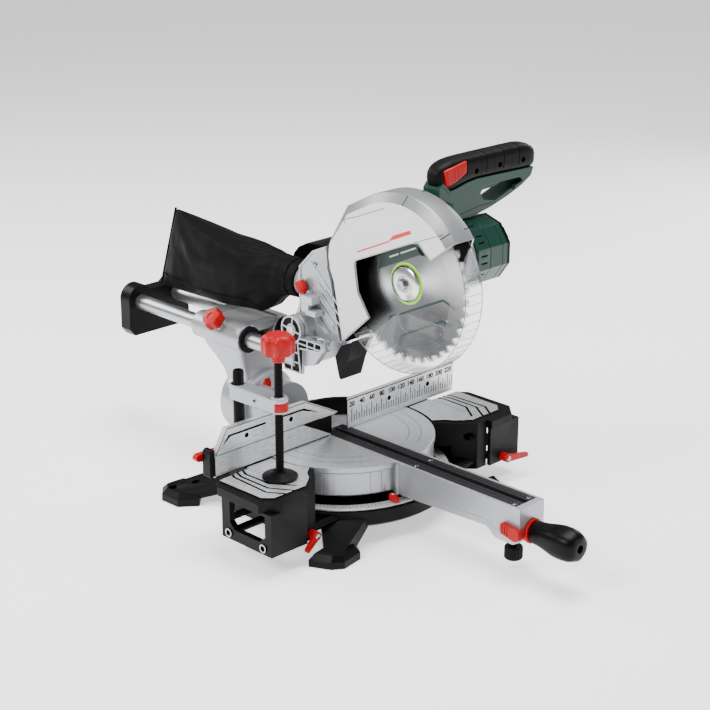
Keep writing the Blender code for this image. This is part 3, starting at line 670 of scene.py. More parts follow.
def soft_box(name, at, size, power):
    """A rectangular area light that faces the machine."""
    data = bpy.data.lights.new(name, "AREA")
    data.shape = "RECTANGLE"
    data.size, data.size_y = size
    data.energy = power
    thing = bpy.data.objects.new(name, data)
    thing.location = at
    thing.rotation_euler = (MIDDLE - Vector(at)).to_track_quat("-Z", "Y").to_euler()
    bpy.context.collection.objects.link(thing)


def camera_and_light():
    data = bpy.data.cameras.new("camera")
    data.lens = 85.41
    data.sensor_width = 36.0
    data.shift_x = 0.0006
    data.shift_y = -0.0024
    data.clip_end = 50.0
    thing = bpy.data.objects.new("camera", data)
    thing.location = Vector((-1532.8, -1570.2, 997.7)) * MM
    look = Vector((0.6636, 0.6686, -0.3356))
    thing.rotation_euler = look.to_track_quat("-Z", "Y").to_euler()
    bpy.context.collection.objects.link(thing)
    bpy.context.scene.camera = thing
    soft_box("key", (-2.0, 0.15, 1.8), (0.9, 0.9), 62.0)
    soft_box("top", (0.3, -0.1, 2.3), (1.2, 1.2), 72.0)
    soft_box("front", (0.9, -2.3, 0.7), (0.6, 1.0), 15.0)
    soft_box("right", (2.1, 0.2, 1.0), (0.6, 1.4), 20.0)
    soft_box("back", (-0.7, 2.2, 1.5), (1.6, 0.7), 36.0)
    world = bpy.data.worlds.new("studio")
    world.use_nodes = True
    ground = world.node_tree.nodes["Background"]
    ground.inputs["Color"].default_value = (1.0, 1.0, 1.0, 1.0)
    ground.inputs["Strength"].default_value = 0.24
    bpy.context.scene.world = world


# Prints laid on a face

def mirror_x(outline, side):
    return [(-side * u, v) for u, v in outline]


def fence_print(u, v):
    """Place XY drawing coordinates on the fence's front face."""
    return Matrix(((1, 0, 0, u), (0, 0, 1, -SKIN / 2), (0, 1, 0, v), (0, 0, 0, 1)))


def fence_ink(outline):
    """A print on the fence's front face."""
    return prism("Y", -SKIN, 0.02, outline)


# The fixed base

def build_base():
    holes = []
    for side in (-1, 1):
        for x, y in ((176, 162), (152, 140)):
            holes.append(disc("Z", side * x, y, 6.0, 11.5, 30, 20))
            holes.append(disc("Z", side * x, y, 3.0, 2.0, 20, 16))
    refined("base_casting", ["cast_black"], bevel=1.3, segments=3, cuts=holes)
    for side, word in ((-1, "left"), (1, "right")):
        head = screw((side * 152, 140, 11.6), (0, 0, 1), 4.4, 2.4)
        piece(f"{word}_foot_screw", head, "base_casting", ["steel"], stands=False)
    scale = prism(
        "Z", 46.3, 49.0, arc(0, 0, 137.0, 200, 340, 90) + arc(0, 0, 152.0, 340, 200, 90)
    )
    piece("degree_scale_ring", scale, "degree_scale", ["brushed"], bevel=0.5)
    ticks = []
    for k in range(61):
        long = 8.5 if k % 5 == 0 else 5.0
        along = heading(210 + 2 * k)
        ends = [tuple(along * 139.5), tuple(along * (139.5 + long))]
        ticks.append(prism("Z", 48.9, 49.0 + SKIN, ribbon(ends, 0.5)))
    piece("degree_scale_marks", join(*ticks), "degree_scale", ["ink_and_painted_shade"], stands=False)
    plates()
    fences()
    post = turned("Z", *POST, [
        (0, 62), (7.6, 62), (7.6, 229.5), (6.4, 232), (3.2, 232), (2.8, 230), (0, 230),
    ], 40)
    piece("clamp_post_bar", post, "clamp_post", ["plastic_black"])


GROOVES = (
    [(-204, 2), (-212.5, -15.0), (-214.5, -80), (-198, -104)],
    [(-197.3, 2), (-204.6, -20.0), (-204, -72), (-183, -104)],
    [(-186, 2), (-195, -18.0), (-193.5, -62), (-172, -92)],
)


def plates():
    for side, word in ((-1, "left"), (1, "right")):
        lines = [mirror_x(ribbon(points, 3.3), side) for points in GROOVES]
        inner = [(-179.7, -2), (-179.7, -101), (-164.5, -101), (-143, -85), (-134.5, -72)]
        inner += arc(0, 0, TABLE_R + 3.5, 207, 181, 24)
        outer = [(-180.3, -6), (-233, -9), (-231, -89), (-219, -101), (-180.3, -101)]
        for kind, outline, node in (
            ("table", inner, f"{word}_table_plate"),
            ("extension", outer, f"{word}_extension_plate"),
        ):
            plate = prism("Z", 98.6, TABLE_Z, mirror_x(outline, side))
            plate = carve(plate, [prism("Z", 98.9, 102, line) for line in lines])
            # Only the top face keeps the plate's metal; groove walls and floors and the plate's
            # sides take the black as painted shade.
            piece(f"{word}_{kind}_face", plate, node, ["table", "ink_and_painted_shade"], bevel=0.25,
                  pick=lambda c, n: 0 if n.z > 0.5 and c.z > 99.9 else 1)


def fences():
    back = 8.0
    right = prism("Z", 100.3, 144.0, [(10, 0), (232, 0), (232, back), (19, back)])
    holes = [disc("Y", x, 124.0, 3.4, -2, back - 2, 28) for x in (96.0, 177.0)]
    right = carve(right, holes)
    # The insides of the two holes take the black: painted shade.
    piece("fence_right_face", right, "fence", ["brushed", "ink_and_painted_shade"], bevel=0.5,
          pick=lambda c, n: 1 if 0.5 < c.y < 7.5 and abs(c.z - 124) < 5 and 15 < c.x < 225 else 0)
    left = prism("Y", 0, back, [(-232.6, 100.3), (-21, 100.3), (-21, 102), (-74, 129.7),
                                (-232.6, 129.7)])
    piece("fence_left_face", left, "fence", ["brushed"], bevel=0.4)
    arch = prism("Z", 100.3, 126.0,
                 arc(0, 0, 68.0, 4, 176, 48) + arc(0, 0, 62.0, 176, 4, 48))
    feet = [box(tuple(sorted((side * 134, side * 184))), (7, 30), (100.3, 108))
            for side in (-1, 1)]
    ribs = [box((x - 2, x + 2), (7.5, 22), (101, 136)) for x in (60, 120, 200)]
    cuts = [disc("Z", side * POST[0], POST[1], 7.9, 95, 115, 24) for side in (-1, 1)]
    shade = prism("Y", 2.5, 7.5, [(-72, 128), (-24, 103), (-17, 103), (-17, 129.3), (-74, 129.3)])
    frame_part = carve(arch, cuts, [*feet, *ribs, shade])
    piece("fence_bridge", frame_part, "fence", ["cast_black"], bevel=0.8)
    prints = []
    for k in range(43):
        x = 20 + 5 * k
        top = 128.2 if k % 4 == 0 else 123.5 if k % 2 == 0 else 119.0
        if abs(x - 96) < 4.5 or abs(x - 177) < 4.5:
            top = min(top, 118.5)
        prints.append(box((x - 0.62, x + 0.62), (-SKIN, 0.02), (108.8, top)))
    prints.append(fence_ink(ribbon([(10.9, 101), (10.9, 143.2), (231.5, 143.2)], 1.6)))
    piece("fence_ticks", join(*prints), "fence", ["ink_and_painted_shade"], stands=False)
    numbers = [digits(str(v), 10.2, fence_print(v + 0.6, 135.2)) for v in range(20, 221, 20)]
    piece("fence_numbers", join(*numbers), "fence", ["ink_and_painted_shade"], stands=False)
    edge = fence_ink(ribbon([(-231.9, 101), (-231.9, 129.4)], 1.1))
    foot = fence_ink(ribbon([(-231, 101), (-24, 101)], 1.1))
    piece("fence_left_edge", join(edge, foot), "fence", ["ink_and_painted_shade"], stands=False)


def build_upper_fence():
    back = 8.0
    outline = [(-231, 130), (-14, 130), (-7, 131.5), (-68, 162.5), (-211, 164)]
    face = prism("Y", 0, back, outline)
    cuts = [prism("Z", 125, 170, [(-7, -1), (5, -1), (5, 9), (-18, 9)])]
    cuts += [disc("Y", x, 145.0, 3.4, -2, 6.5, 28) for x in (-176.0, -96.0)]
    adds = [box((-215, -110), (back - 1, 10), (134, 150)),
            box((-215, -110), (back + 0.3, 10), (112, 135))]
    face = carve(face, cuts, adds)
    # The insides of the two holes take the black: painted shade.
    piece("left_fence_upper_face", face, "left_fence_upper", ["brushed", "ink_and_painted_shade"], bevel=0.4,
          pick=lambda c, n: 1 if 0.3 < c.y < 6.8 and abs(c.z - 145) < 5 and -190 < c.x < -80
          else 0)
    marks = [
        [(-219.4, 140.5), (-207.3, 154.2), (-141, 154.2), (-142.6, 151.2), (-204.4, 151.4)],
        [(-111.7, 154.6), (-72.3, 154.2), (-42.7, 140.6), (-74.7, 151.4), (-111.7, 152.0)],
        ribbon([(-230.3, 130.6), (-210.5, 163.2), (-68.5, 161.8), (-12, 133.0)], 1.1),
        ribbon([(-230, 130.5), (-40, 130.5)], 0.7),
    ]
    piece("left_fence_marks", join(*map(fence_ink, marks)), "left_fence_upper", ["ink_and_painted_shade"],
          stands=False)
    refined("left_fence_end_cap", ["plastic_black"], bevel=1.0, segments=3)
    lever = flat_arm(((-212, 124, 7.0), (-245, 127, 5.0)), 15.5, 24.5)
    lock = carve(disc("Y", -212, 120, 8.0, 12, 26, 40), (), [lever])
    piece("left_fence_lock_lever", lock, "left_fence_lock", ["red"], bevel=1.2, segments=3)


def build_extensions():
    for side, word in ((-1, "left"), (1, "right")):
        refined(f"{word}_extension_frame", ["cast_black"], bevel=1.3, segments=3)
        for place, y in (("front", -105.0), ("rear", -38.0)):
            inner, outer = sorted((side * 62.0, side * 244.2))
            pipe = turned("X", y, TUBE_Z, [(4.0, inner), (5.5, inner), (5.5, outer),
                                           (4.0, outer)], 32)
            node = f"{word}_extension_tube_{place}"
            piece(f"{node}_pipe", pipe, node, ["cast_black"], bevel=0.3)
            end = turned("X", y, TUBE_Z, [(4.1, side * 244.1), (6.0, side * 244.1),
                                          (6.0, side * 244.7),
                                        (4.1, side * 244.7)], 32)
            piece(f"{node}_end", end, node, ["steel"], stands=False)
            plug = disc("X", y, TUBE_Z, 3.9, *sorted((side * 236.0, side * 240.0)))
            piece(f"{node}_plug", plug, node, ["plastic_black"], stands=False)
    levers = (
        ("left", (-168, -118, 37), (-184, 22), 3.6),
        ("right", (206, -126, 37), (247, 31), 4.6),
    )
    for word, hub, tip, reach in levers:
        front = hub[1] - 9.0
        arm = flat_arm(((hub[0], hub[2], 5.5), (*tip, 3.6)), front, front + 5.0)
        shape = carve(disc("Y", hub[0], hub[2], 6.5, front, hub[1] + reach, 32), (), [arm])
        node = f"{word}_extension_lock"
        piece(f"{node}_lever", shape, node, ["red"], bevel=0.9, segments=3)
        bolt = screw((hub[0], front, hub[2]), (0, -1, 0), 3.6, 1.8)
        piece(f"{node}_bolt", bolt, node, ["steel"], stands=False)


# Turntable

def build_turntable():
    drum = turned("Z", 0, 0, [
        (0, 56), (124, 56), (129.6, 60), (129.6, 90.5), (TABLE_R, 92.5), (TABLE_R, 99.3),
        (TABLE_R - 0.7, TABLE_Z), (0, TABLE_Z),
    ], 120)
    arm = prism("X", -24.2, 24.2, [
        (-100, 58), (-141, 53.5), (-290, 60), (-297, 56), (-303, 50), (-308, 48), (-336, 48),
        (-346, 54), (-346, TABLE_Z), (-100, TABLE_Z),
    ])
    boss = disc("Y", 0, TABLE_Z, 42.0, 112.0, BEVEL_Y, 64)
    adds = [disc("Z", 0, 0, 60.0, 46.0, 58.0, 48), arm, box((-33, 33), (90, 148), (57, 96)), boss]
    lines = []
    for degrees in (183, 190, 214, 221, 243, 250, 290, 297, 319, 326, 350, 357):
        out = heading(degrees)
        line = ribbon([tuple(out * 128.6), tuple(out * 134.0)], 1.1)
        lines.append(prism("Z", 58.0, 92.0, line))
    for side in (-1, 1):
        for y in (-138.0, -118.0):
            adds.append(box(tuple(sorted((side * 24, side * 30))), (y, y + 3.0), (56, 98)))
    cuts = [box((-20.3, 20.3), (-336.3, 18.3), (84.0, 105)), *lines]
    for side in (-1, 1):
        line = ribbon([(side * 24.4, -126), (side * 24.4, -40)], 0.8)
        cuts.append(prism("Z", 99.5, 102, line))
    cuts.append(prism("X", -25.0, -23.7, ribbon([(-150, 64), (-289, 69), (-303, 61.5),
                                                 (-340, 61.5)], 1.3)))
    shape = carve(drum, cuts, adds)
    # The floor of the kerf channel, and upward faces just under the top, take the near-black:
    # painted shade.
    piece("turntable_casting", shape, "turntable", ["silver_paint", "table", "dark_seam_and_painted_shade"], bevel=0.5,
          segments=2, pick=lambda c, n: 2 if n.z > 0.9 and (84 < c.z < 84.5 and abs(c.x) < 20
                                                            or 99 < c.z < 99.4)
          else 1 if n.z > 0.9 and c.z > 99.4 else 0)
    # Flat grey arcs in place of engraved grooves: painted groove shade with a duller finish.
    rings = []
    for radius in (95.0, 112.0):
        for first, last in ((183, 246), (294, 357)):
            ring = arc(0, 0, radius - 0.6, first, last, 40) + arc(0, 0, radius + 0.6, last, first,
                                                                  40)
            rings.append(prism("Z", TABLE_Z - 0.02, TABLE_Z + SKIN / 2, ring))
    piece("turntable_rings", join(*rings), "turntable", ["groove_finish_and_shade"], stands=False)
    for word, across, middle in (("left", (-20, -2.5), -13.5), ("right", (6.5, 20), 14.5)):
        strip = prism("Y", -336, 18, [
            (across[0], 84.3), (across[1], 84.3), (across[1], 99.1), (across[1] - 0.7, 99.8),
            (across[0] + 0.7, 99.8), (across[0], 99.1),
        ])
        lane = -8.6 if word == "left" else 10.4
        cuts = [box((lane - 0.5, lane + 0.5), (-330, 14), (99.2, 101))]
        for y in (-157.5, -329.0):
            cuts.append(disc("Z", middle, y, 3.9, 98.6, 101, 28))
        node = f"{word}_kerf_insert"
        piece(f"{node}_strip", carve(strip, cuts), node, ["kerf_grey"], bevel=0.2)
        heads = [screw((middle, y, 98.6), (0, 0, 1), 3.5, 1.5) for y in (-157.5, -329.0)]
        piece(f"{node}_screws", join(*heads), node, ["steel"], stands=False)
    pointer = hull([Vector(p) for p in (
        (-42, -133, 50.6), (-35, -133, 50.6), (-42, -146, 50.6), (-35, -146, 50.6),
        (-38.5, -151, 50.2), (-42, -133, 60), (-35, -133, 60), (-42, -144, 60), (-35, -144, 60))])
    piece("mitre_pointer_flag", pointer, "mitre_pointer", ["red"], bevel=0.8, segments=3)
    piece("mitre_pointer_screw", screw((-38.5, -138.5, 59.9), (0, 0, 1), 3.2, 1.5),
          "mitre_pointer", ["steel"], stands=False)
    refined("mitre_pivot_bolt", ["steel"], bevel=0.6)
    refined("bevel_axle", ["steel"], bevel=0.8)
    knurl = turned("Z", 0, -318.0, [
        (0, 15), (10.6, 15), (12.5, 17), (12.5, 31), (11.0, 33), (5, 33), (5, 62), (0, 62),
    ], 96, ripple=flutes(24, 0.035, 11.5))
    piece("support_foot_knob", knurl, "support_foot", ["rubber_black"], bevel=0.25)
    handle = turned("Y", 0, GRIP_Z, [
        (0, -418), (5.4, -418), (5.6, -424.6), (13, -425), (18.5, -421.5), (21.6, -414),
        (22.5, -404), (22.2, -394), (20.4, -384), (18, -374), (16.3, -365), (15.6, -358),
        (15.0, -354), (13, -352), (5, -352), (5, -339), (0, -339),
    ], 80, ripple=flutes(5, 0.035, 15.7))
    piece("mitre_handle_grip", handle, "mitre_handle", ["plastic_black"], sharp=45)
    collar = turned("Y", 0, GRIP_Z, [
        (5.6, -351.4), (15.8, -351.4), (17.0, -350.2), (17.0, -347.4), (15.8, -346.2),
        (5.6, -346.2),
    ], 48)
    piece("mitre_handle_collar", collar, "mitre_handle", ["red"], stands=False)
    lever = prism("X", -32, -24.8, [
        (-351, 60), (-351, 71), (-346, 74), (-330, 75), (-321, 76), (-319.5, 72), (-321, 62),
        (-334, 59), (-344, 57),
    ])
    tab = box((-32, -17.5), (-350.5, -347.0), (60.5, 70))
    grooves = [box((-33, -31), (y, y + 1.4), (58, 80)) for y in (-329, -325.5, -333)]
    piece("mitre_latch_lever", carve(lever, grooves, [tab]), "mitre_latch", ["red"], bevel=0.9,
          segments=3)
    arm = flat_arm(((-50, 141, 6.5), (-78, 154, 5.0)), 128.0, 140.0)
    cut = disc("Y", 0, TABLE_Z, 42.6, 100, 160, 64)
    lever = carve(disc("Y", -50, 141, 6.5, 126, 141, 32), [cut], [arm])
    piece("bevel_lock_handle", lever, "bevel_lock_lever", ["red"], bevel=1.2, segments=3)


# Column, rails and carrier

def rounded(cx, cy, hx, hy, z, corner, steps=5):
    ring = []
    for sx, sy, first in ((1, 1, 0), (-1, 1, 90), (-1, -1, 180), (1, -1, 270)):
        for u, v in arc(cx + sx * (hx - corner), cy + sy * (hy - corner), corner,
                        first, first + 90, steps):
            ring.append(Vector((u, v, z)))
    return ring


def build_column():
    hub = turned("Y", 0, TABLE_Z, [
        (0, 150.4), (46, 150.4), (50.4, 151.6), (52, 155), (52, 198), (50.4, 203), (46, 205),
        (34, 205), (31, 202.5), (0, 202.5),
    ], 88)
    sections = ((196, 206, 45, 46, 10), (182, 203, 44, 42, 10), (166, 195, 40, 34, 11),
                (150, 188, 37, 28, 12), (134, 182, 37, 25, 12), (118, 179, 40, 23, 10),
                (104, 178, 42, 23, 8))
    neck = loft([rounded(0, cy, hx, hy, z, corner) for z, cy, hx, hy, corner in sections])
    adds = [neck]
    bores = []
    for side in (-1, 1):
        adds.append(turned("Y", side * RAIL_X, RAIL_Z, [
            (0, 155), (18.8, 155), (20.5, 156.8), (20.5, 258), (18.8, 260), (0, 260),
        ], 64))
        bores.append(disc("Y", side * RAIL_X, RAIL_Z, RAIL_BORE, 140, 270, 48))
    adds.append(box((-36, 36), (157, 258), (214, 225.5)))
    along = Vector((-1, 0, 1)).normalized()
    start = Vector((-RAIL_X, 200, RAIL_Z))
    adds.append(rod(start + along * 15, start + along * 25.5, 8.0, 32, 7.0))
    bores.append(rod(start + along * 13, start + along * 26.5, 4.3, 20))
    bores.append(disc("Y", 0, TABLE_Z, 10.3, 140, 215, 40))
    bores.append(box((-30, 30), (163, 252), (224.3, 230)))
    for y in (172, 236):
        bores.append(box((-22, 22), (y, y + 1.2), (223.4, 230)))
    shape = carve(hub, bores, adds)
    piece("bevel_column_casting", shape, "bevel_column", ["cast_silver"], bevel=1.4, segments=3)
    for side, word in ((-1, "left"), (1, "right")):
        ring = turned("Y", side * RAIL_X, RAIL_Z, [
            (12.1, 150.6), (18.4, 150.2), (19.5, 151.2), (19.5, 154.7), (12.1, 154.7),
        ], 56)
        piece(f"{word}_rail_seal_ring", ring, f"{word}_rail_seal", ["rubber_black"])
    knob = turned("Z", 0, 0, [
        (0, 13.5), (4, 13.5), (4, 27), (9, 27), (12, 29), (16, 30.5), (16, 42), (14, 44.6),
        (6, 45.4), (5, 44), (0, 44),
    ], 96, ripple=flutes(6, 0.07, 11))
    piece("rail_lock_wheel", moved(knob, facing(start, along)), "rail_lock_knob", ["red"],
          sharp=40)
    small = hull([Vector(p) for p in ((-40, 116, 158), (-30, 116, 158), (-40, 112, 150),
                                      (-30, 112, 150), (-35, 108, 146), (-40, 121, 148),
                                      (-30, 121, 148))])
    piece("bevel_pointer", small, "turntable", ["red"], stands=False, bevel=0.6)


def build_carriage():
    for side, word in ((-1, "left"), (1, "right")):
        rail = turned("Y", side * RAIL_X, RAIL_Z, [
            (9.0, 48.6), (10.8, 48), (11.5, 49), (11.5, 411), (10.5, 412), (9.0, 412),
        ], 56)
        piece(f"{word}_rail_bar", rail, f"{word}_rail", ["chrome"])
    outline = [(-58, 166), (-49, 155), (49, 155), (58, 166)]
    outline += arc(RAIL_X, RAIL_Z + 4, 23.0, -10, 110, 24)
    outline += [(16, 224), (-16, 224)]
    outline += arc(-RAIL_X, RAIL_Z + 4, 23.0, 70, 190, 24)
    cuts = [disc("Y", side * RAIL_X, RAIL_Z, RAIL_BORE, 390, 412.3, 48) for side in (-1, 1)]
    cuts.append(box((-30, 30), (423.6, 430), (168, 205)))
    piece("rail_end_cap_shell", carve(prism("Y", 402, 425, outline), cuts), "rail_end_cap",
          ["plastic_black"], bevel=2.2, segments=4)
    carrier()
    piece("chop_pin_bar", disc("X", *CHOP, 6.0, -49.5, 49.5, 40), "chop_pin", ["steel"], bevel=0.6)


def carrier():
    y, z = CHOP
    adds = [box((-36, 36), (44, 80), (192, 203))]
    for side in (-1, 1):
        adds.append(turned("Y", side * RAIL_X, RAIL_Z, [
            (0, 44.5), (14.5, 44.5), (15.5, 45.5), (15.5, 79), (14.5, 80), (0, 80)], 48))
        outline = [(31, 189), (66, 189), (72, 200)] + arc(y, z, 20.0, -20, 200, 40) + [(29, 236)]
        adds.append(prism("X", *sorted((side * 41, side * 46.4)), outline))
    adds.append(prism("X", -46.4, -41, [(31, 226), (31, 242), (-11, 243), (-11, 230)]))
    cuts = [disc("Y", side * RAIL_X, RAIL_Z, RAIL_BORE, 47.7, 90, 40) for side in (-1, 1)]
    cuts.append(disc("X", y, z, 6.3, -60, 60, 32))
    shape = carve(adds[0], cuts, adds[1:])
    # The recessed face between the ribs takes the near-black: painted shade.
    piece("head_carrier_casting", shape, "head_carrier", ["cast_silver", "dark_seam_and_painted_shade"], bevel=0.5,
          pick=lambda c, n: 1 if n.x < -0.9 and -47 < c.x < -46 else 0)
    ribs = []
    x0, x1 = -48.6, -46.3
    ribs.append(turned("X", y, z, [(17.4, x0), (20.0, x0), (20.0, x1), (17.4, x1)], 64))
    ribs.append(turned("X", y, z, [(6.3, x0), (8.6, x0), (8.6, x1), (6.3, x1)], 48))
    for degrees in (10, 100, 190, 280):
        out = heading(degrees)
        ends = [(y + out.x * 8, z + out.y * 8), (y + out.x * 18, z + out.y * 18)]
        ribs.append(prism("X", x0, x1, ribbon(ends, 1.9)))
    bars = (
        [(64.5, 237), (65.5, 200), (64, 190)], [(51, 231), (49, 190)], [(37, 234), (32, 190)],
        [(65, 221), (34, 218)], [(65.5, 206), (33, 204)], [(65, 190.2), (31.5, 190.2)],
        [(36, 234), (-10.6, 233)], [(34, 226.6), (-10, 230.8)], [(33, 241), (-10.6, 242)],
        [(18, 242), (18, 228)], [(3, 242), (3, 229)], [(-10.2, 242.6), (-10.2, 230.4)],
    )
    for bar in bars:
        ribs.append(prism("X", x0, x1, ribbon(bar, 1.8)))
    piece("head_carrier_ribs", join(*ribs), "head_carrier", ["cast_silver"], stands=False,
          bevel=0.3)
    block = prism("X", -40.8, -30, [(31, 222), (31, 243), (-4, 241), (-4, 226), (12, 205),
                                    (30, 200)])
    piece("head_carrier_block", block, "head_carrier", ["cast_silver"], stands=False, bevel=1.2)
    heads = [screw((-40, 12, 241.4), (0, 0, 1), 4.2, 3.0),
             screw((-38, -1, 240.6), (0, 0, 1), 3.2, 2.0)]
    piece("head_carrier_screws", join(*heads), "head_carrier", ["steel"], stands=False)
    spring = wire([(-43, 2, 246), (-43, -6, 249), (-43, -14, 248), (-43, -18, 243),
                   (-43, -19, 236)], 0.8)
    piece("head_carrier_spring", spring, "head_carrier", ["steel"], stands=False)


# The head

def dome_outline(steps=44):
    """The blade cover's side view, from the rear foot up and over to the front."""
    points = [(-22, 242), (-13, 284.5), (-4, 327), (3, 344), (6, 362), (6, 380), (-10.5, 407),
              (-27, 434)]
    return points + arc(*BLADE, DOME_R, 64, 142, steps)[1:]


def inset(points, depth):
    """Points moved towards the blade's centre."""
    moved_points = []
    for u, v in points:
        away = Vector((u - BLADE[0], v - BLADE[1]))
        away *= (away.length - depth) / away.length
        moved_points.append((BLADE[0] + away.x, BLADE[1] + away.y))
    return moved_points


WINDOW = [(-186, 392), (-165, 411.5), (-153, 409), (-56, 367), (-50.5, 363.5), (-50, 357),
          (-56, 322), (-77, 291)]
LOWER_RIGHT = [(-200, 360), (-195, 300), (-140, 262), (-77, 262)]


def build_cover():
    """The blade cover: one sheet over the rim and two faces, turned in at the chamfer."""
    outer = dome_outline()
    count = len(outer)
    stations = [(-24.0, 12.5), (-23.3, 11.7), (-15.2, 0.9), (-14.2, 0.3), (-13.0, 0.0), (8.0, 0.0),
                (17.5, 0.0), (19.0, 0.5), (21.6, 3.0), (22.0, 4.0)]
    shape = bmesh.new()
    rings = []
    for x, depth in stations:
        over, straight = inset(outer, depth), inset(outer, depth * 0.5)
        ring = []
        for k, (u, v) in enumerate(over):
            share = max(0.0, min(1.0, (k - 4) / 3.0))
            su, sv = straight[k]
            ring.append(shape.verts.new((x, su + (u - su) * share, sv + (v - sv) * share)))
        rings.append(ring)
    for one, two in zip(rings, rings[1:]):
        for k in range(count - 1):
            shape.faces.new((one[k], one[k + 1], two[k + 1], two[k]))
    for ring, x, hole in ((rings[0], -24.0, WINDOW), (rings[-1], 22.0, LOWER_RIGHT)):
        rest = [shape.verts.new((x, u, v)) for u, v in hole]
        face = shape.faces.new([*ring, *rest])
        face.tag = True
    bmesh.ops.recalc_face_normals(shape, faces=shape.faces)
    left = [face for face in shape.faces if face.tag and face.calc_center_median().x < 0][0]
    left.normal_update()
    if left.normal.x > 0:
        bmesh.ops.reverse_faces(shape, faces=shape.faces)
    for face in shape.faces:
        # Faces turned to the sides take the white; the rim and chamfer take the darker grey as
        # painted shade.
        face.material_index = 0 if abs(face.normal.x) > 0.93 else 1
    # The inner wall of the sheet takes the near-black: painted shade inside the cover.
    thing = piece("blade_cover_shell", shape, "upper_guard",
                  ["cover_white", "cover_rim_painted_shade", "dark_seam_and_painted_shade"],
                  thick=2.4, inner=2, sharp=20, keep_normals=True)
    edge = thing.modifiers.new("edges", "BEVEL")
    edge.width = 0.45 * MM
    edge.segments = 2
    edge.limit_method = "ANGLE"
    edge.angle_limit = math.radians(34)
    edge.harden_normals = True
    cover_details()


def cover_details():
    """The window's rolled lip, the seam, the printed stripe and badge, and small fittings."""
    lip = wire([(-24.4, u, v) for u, v in
                ((-222, 420), (-204, 406), (-186, 392.4), (-165, 411.6), (-153, 409.2),
                 (-104, 388),
                 (-56, 367.2), (-50.6, 363.6), (-50, 357), (-56, 322), (-77, 291.5))], 0.9, 10)
    foot = wire([(-24.3, u, v) for u, v in ((-77, 291.5), (-49, 266.5), (-22.4, 242.6))], 0.8, 10)
    piece("blade_cover_lip", join(lip, foot), "upper_guard", ["cover_rim_painted_shade"], stands=False)
    path = [(-33, 412), (-29.5, 417), (-60, 428), (-89, 440), (-104, 446)]
    seams = [prism("X", -24.14, -23.9, ribbon(path, 0.8)),
             prism("X", -24.12, -23.9, ribbon([(-153, 409), (-168, 402), (-186, 393)], 0.6)),
             prism("X", -24.12, -23.9, ribbon([(-153, 409), (-176, 418.5), (-206, 431)], 0.7))]
    for first, last, depths in ((96.0, 96.6, (12.5, 0.9)), (134.5, 135.1, (12.5, 0.9))):
        quad = []
        for degrees in (first, last):
            a = math.radians(degrees)
            for x, depth in ((-24.08, depths[0]), (-15.2, depths[1] - 0.1), (18.0, -0.1)):
                reach = DOME_R - depth
                for lift_out in (-0.05, 0.1):
                    quad.append(Vector((x, BLADE[0] + (reach + lift_out) * math.cos(a),
                                        BLADE[1] + (reach + lift_out) * math.sin(a))))
        for part in (lambda p: p.x < -15, lambda p: p.x > -16):
            seams.append(hull([p for p in quad if part(p)]))
    piece("blade_cover_seam", join(*seams), "upper_guard", ["dark_seam_and_painted_shade"], stands=False)
    stripe = prism("X", -24.16, -23.9, ribbon([(-54, 377.5), (-112.7, 403.6)], 2.0))
    badge = prism("X", -24.16, -23.9, [(-112, 403.4), (-120, 413.0), (-150.4, 426.0),
                                       (-152.5, 421.5)])
    piece("blade_cover_stripe", join(stripe, badge), "upper_guard", ["ink_red"], stands=False)
    clip = prism("X", -23.8, -20.4, [(-176, 404), (-166, 408), (-163, 401), (-170, 396),
                                     (-178, 398)])
    piece("blade_cover_clip", clip, "upper_guard", ["plastic_black"], stands=False, bevel=0.5)
    # Dark strips standing for the vent slots: painted shade.
    slots = [prism("X", 22.0, 22.3, ribbon([(-60 - 15 * k, 428 - 2.2 * k), (-52 - 15 * k, 404)],
                                           3.0))
             for k in range(5)]
    piece("blade_cover_vents", join(*slots), "upper_guard", ["dark_seam_and_painted_shade"], stands=False)


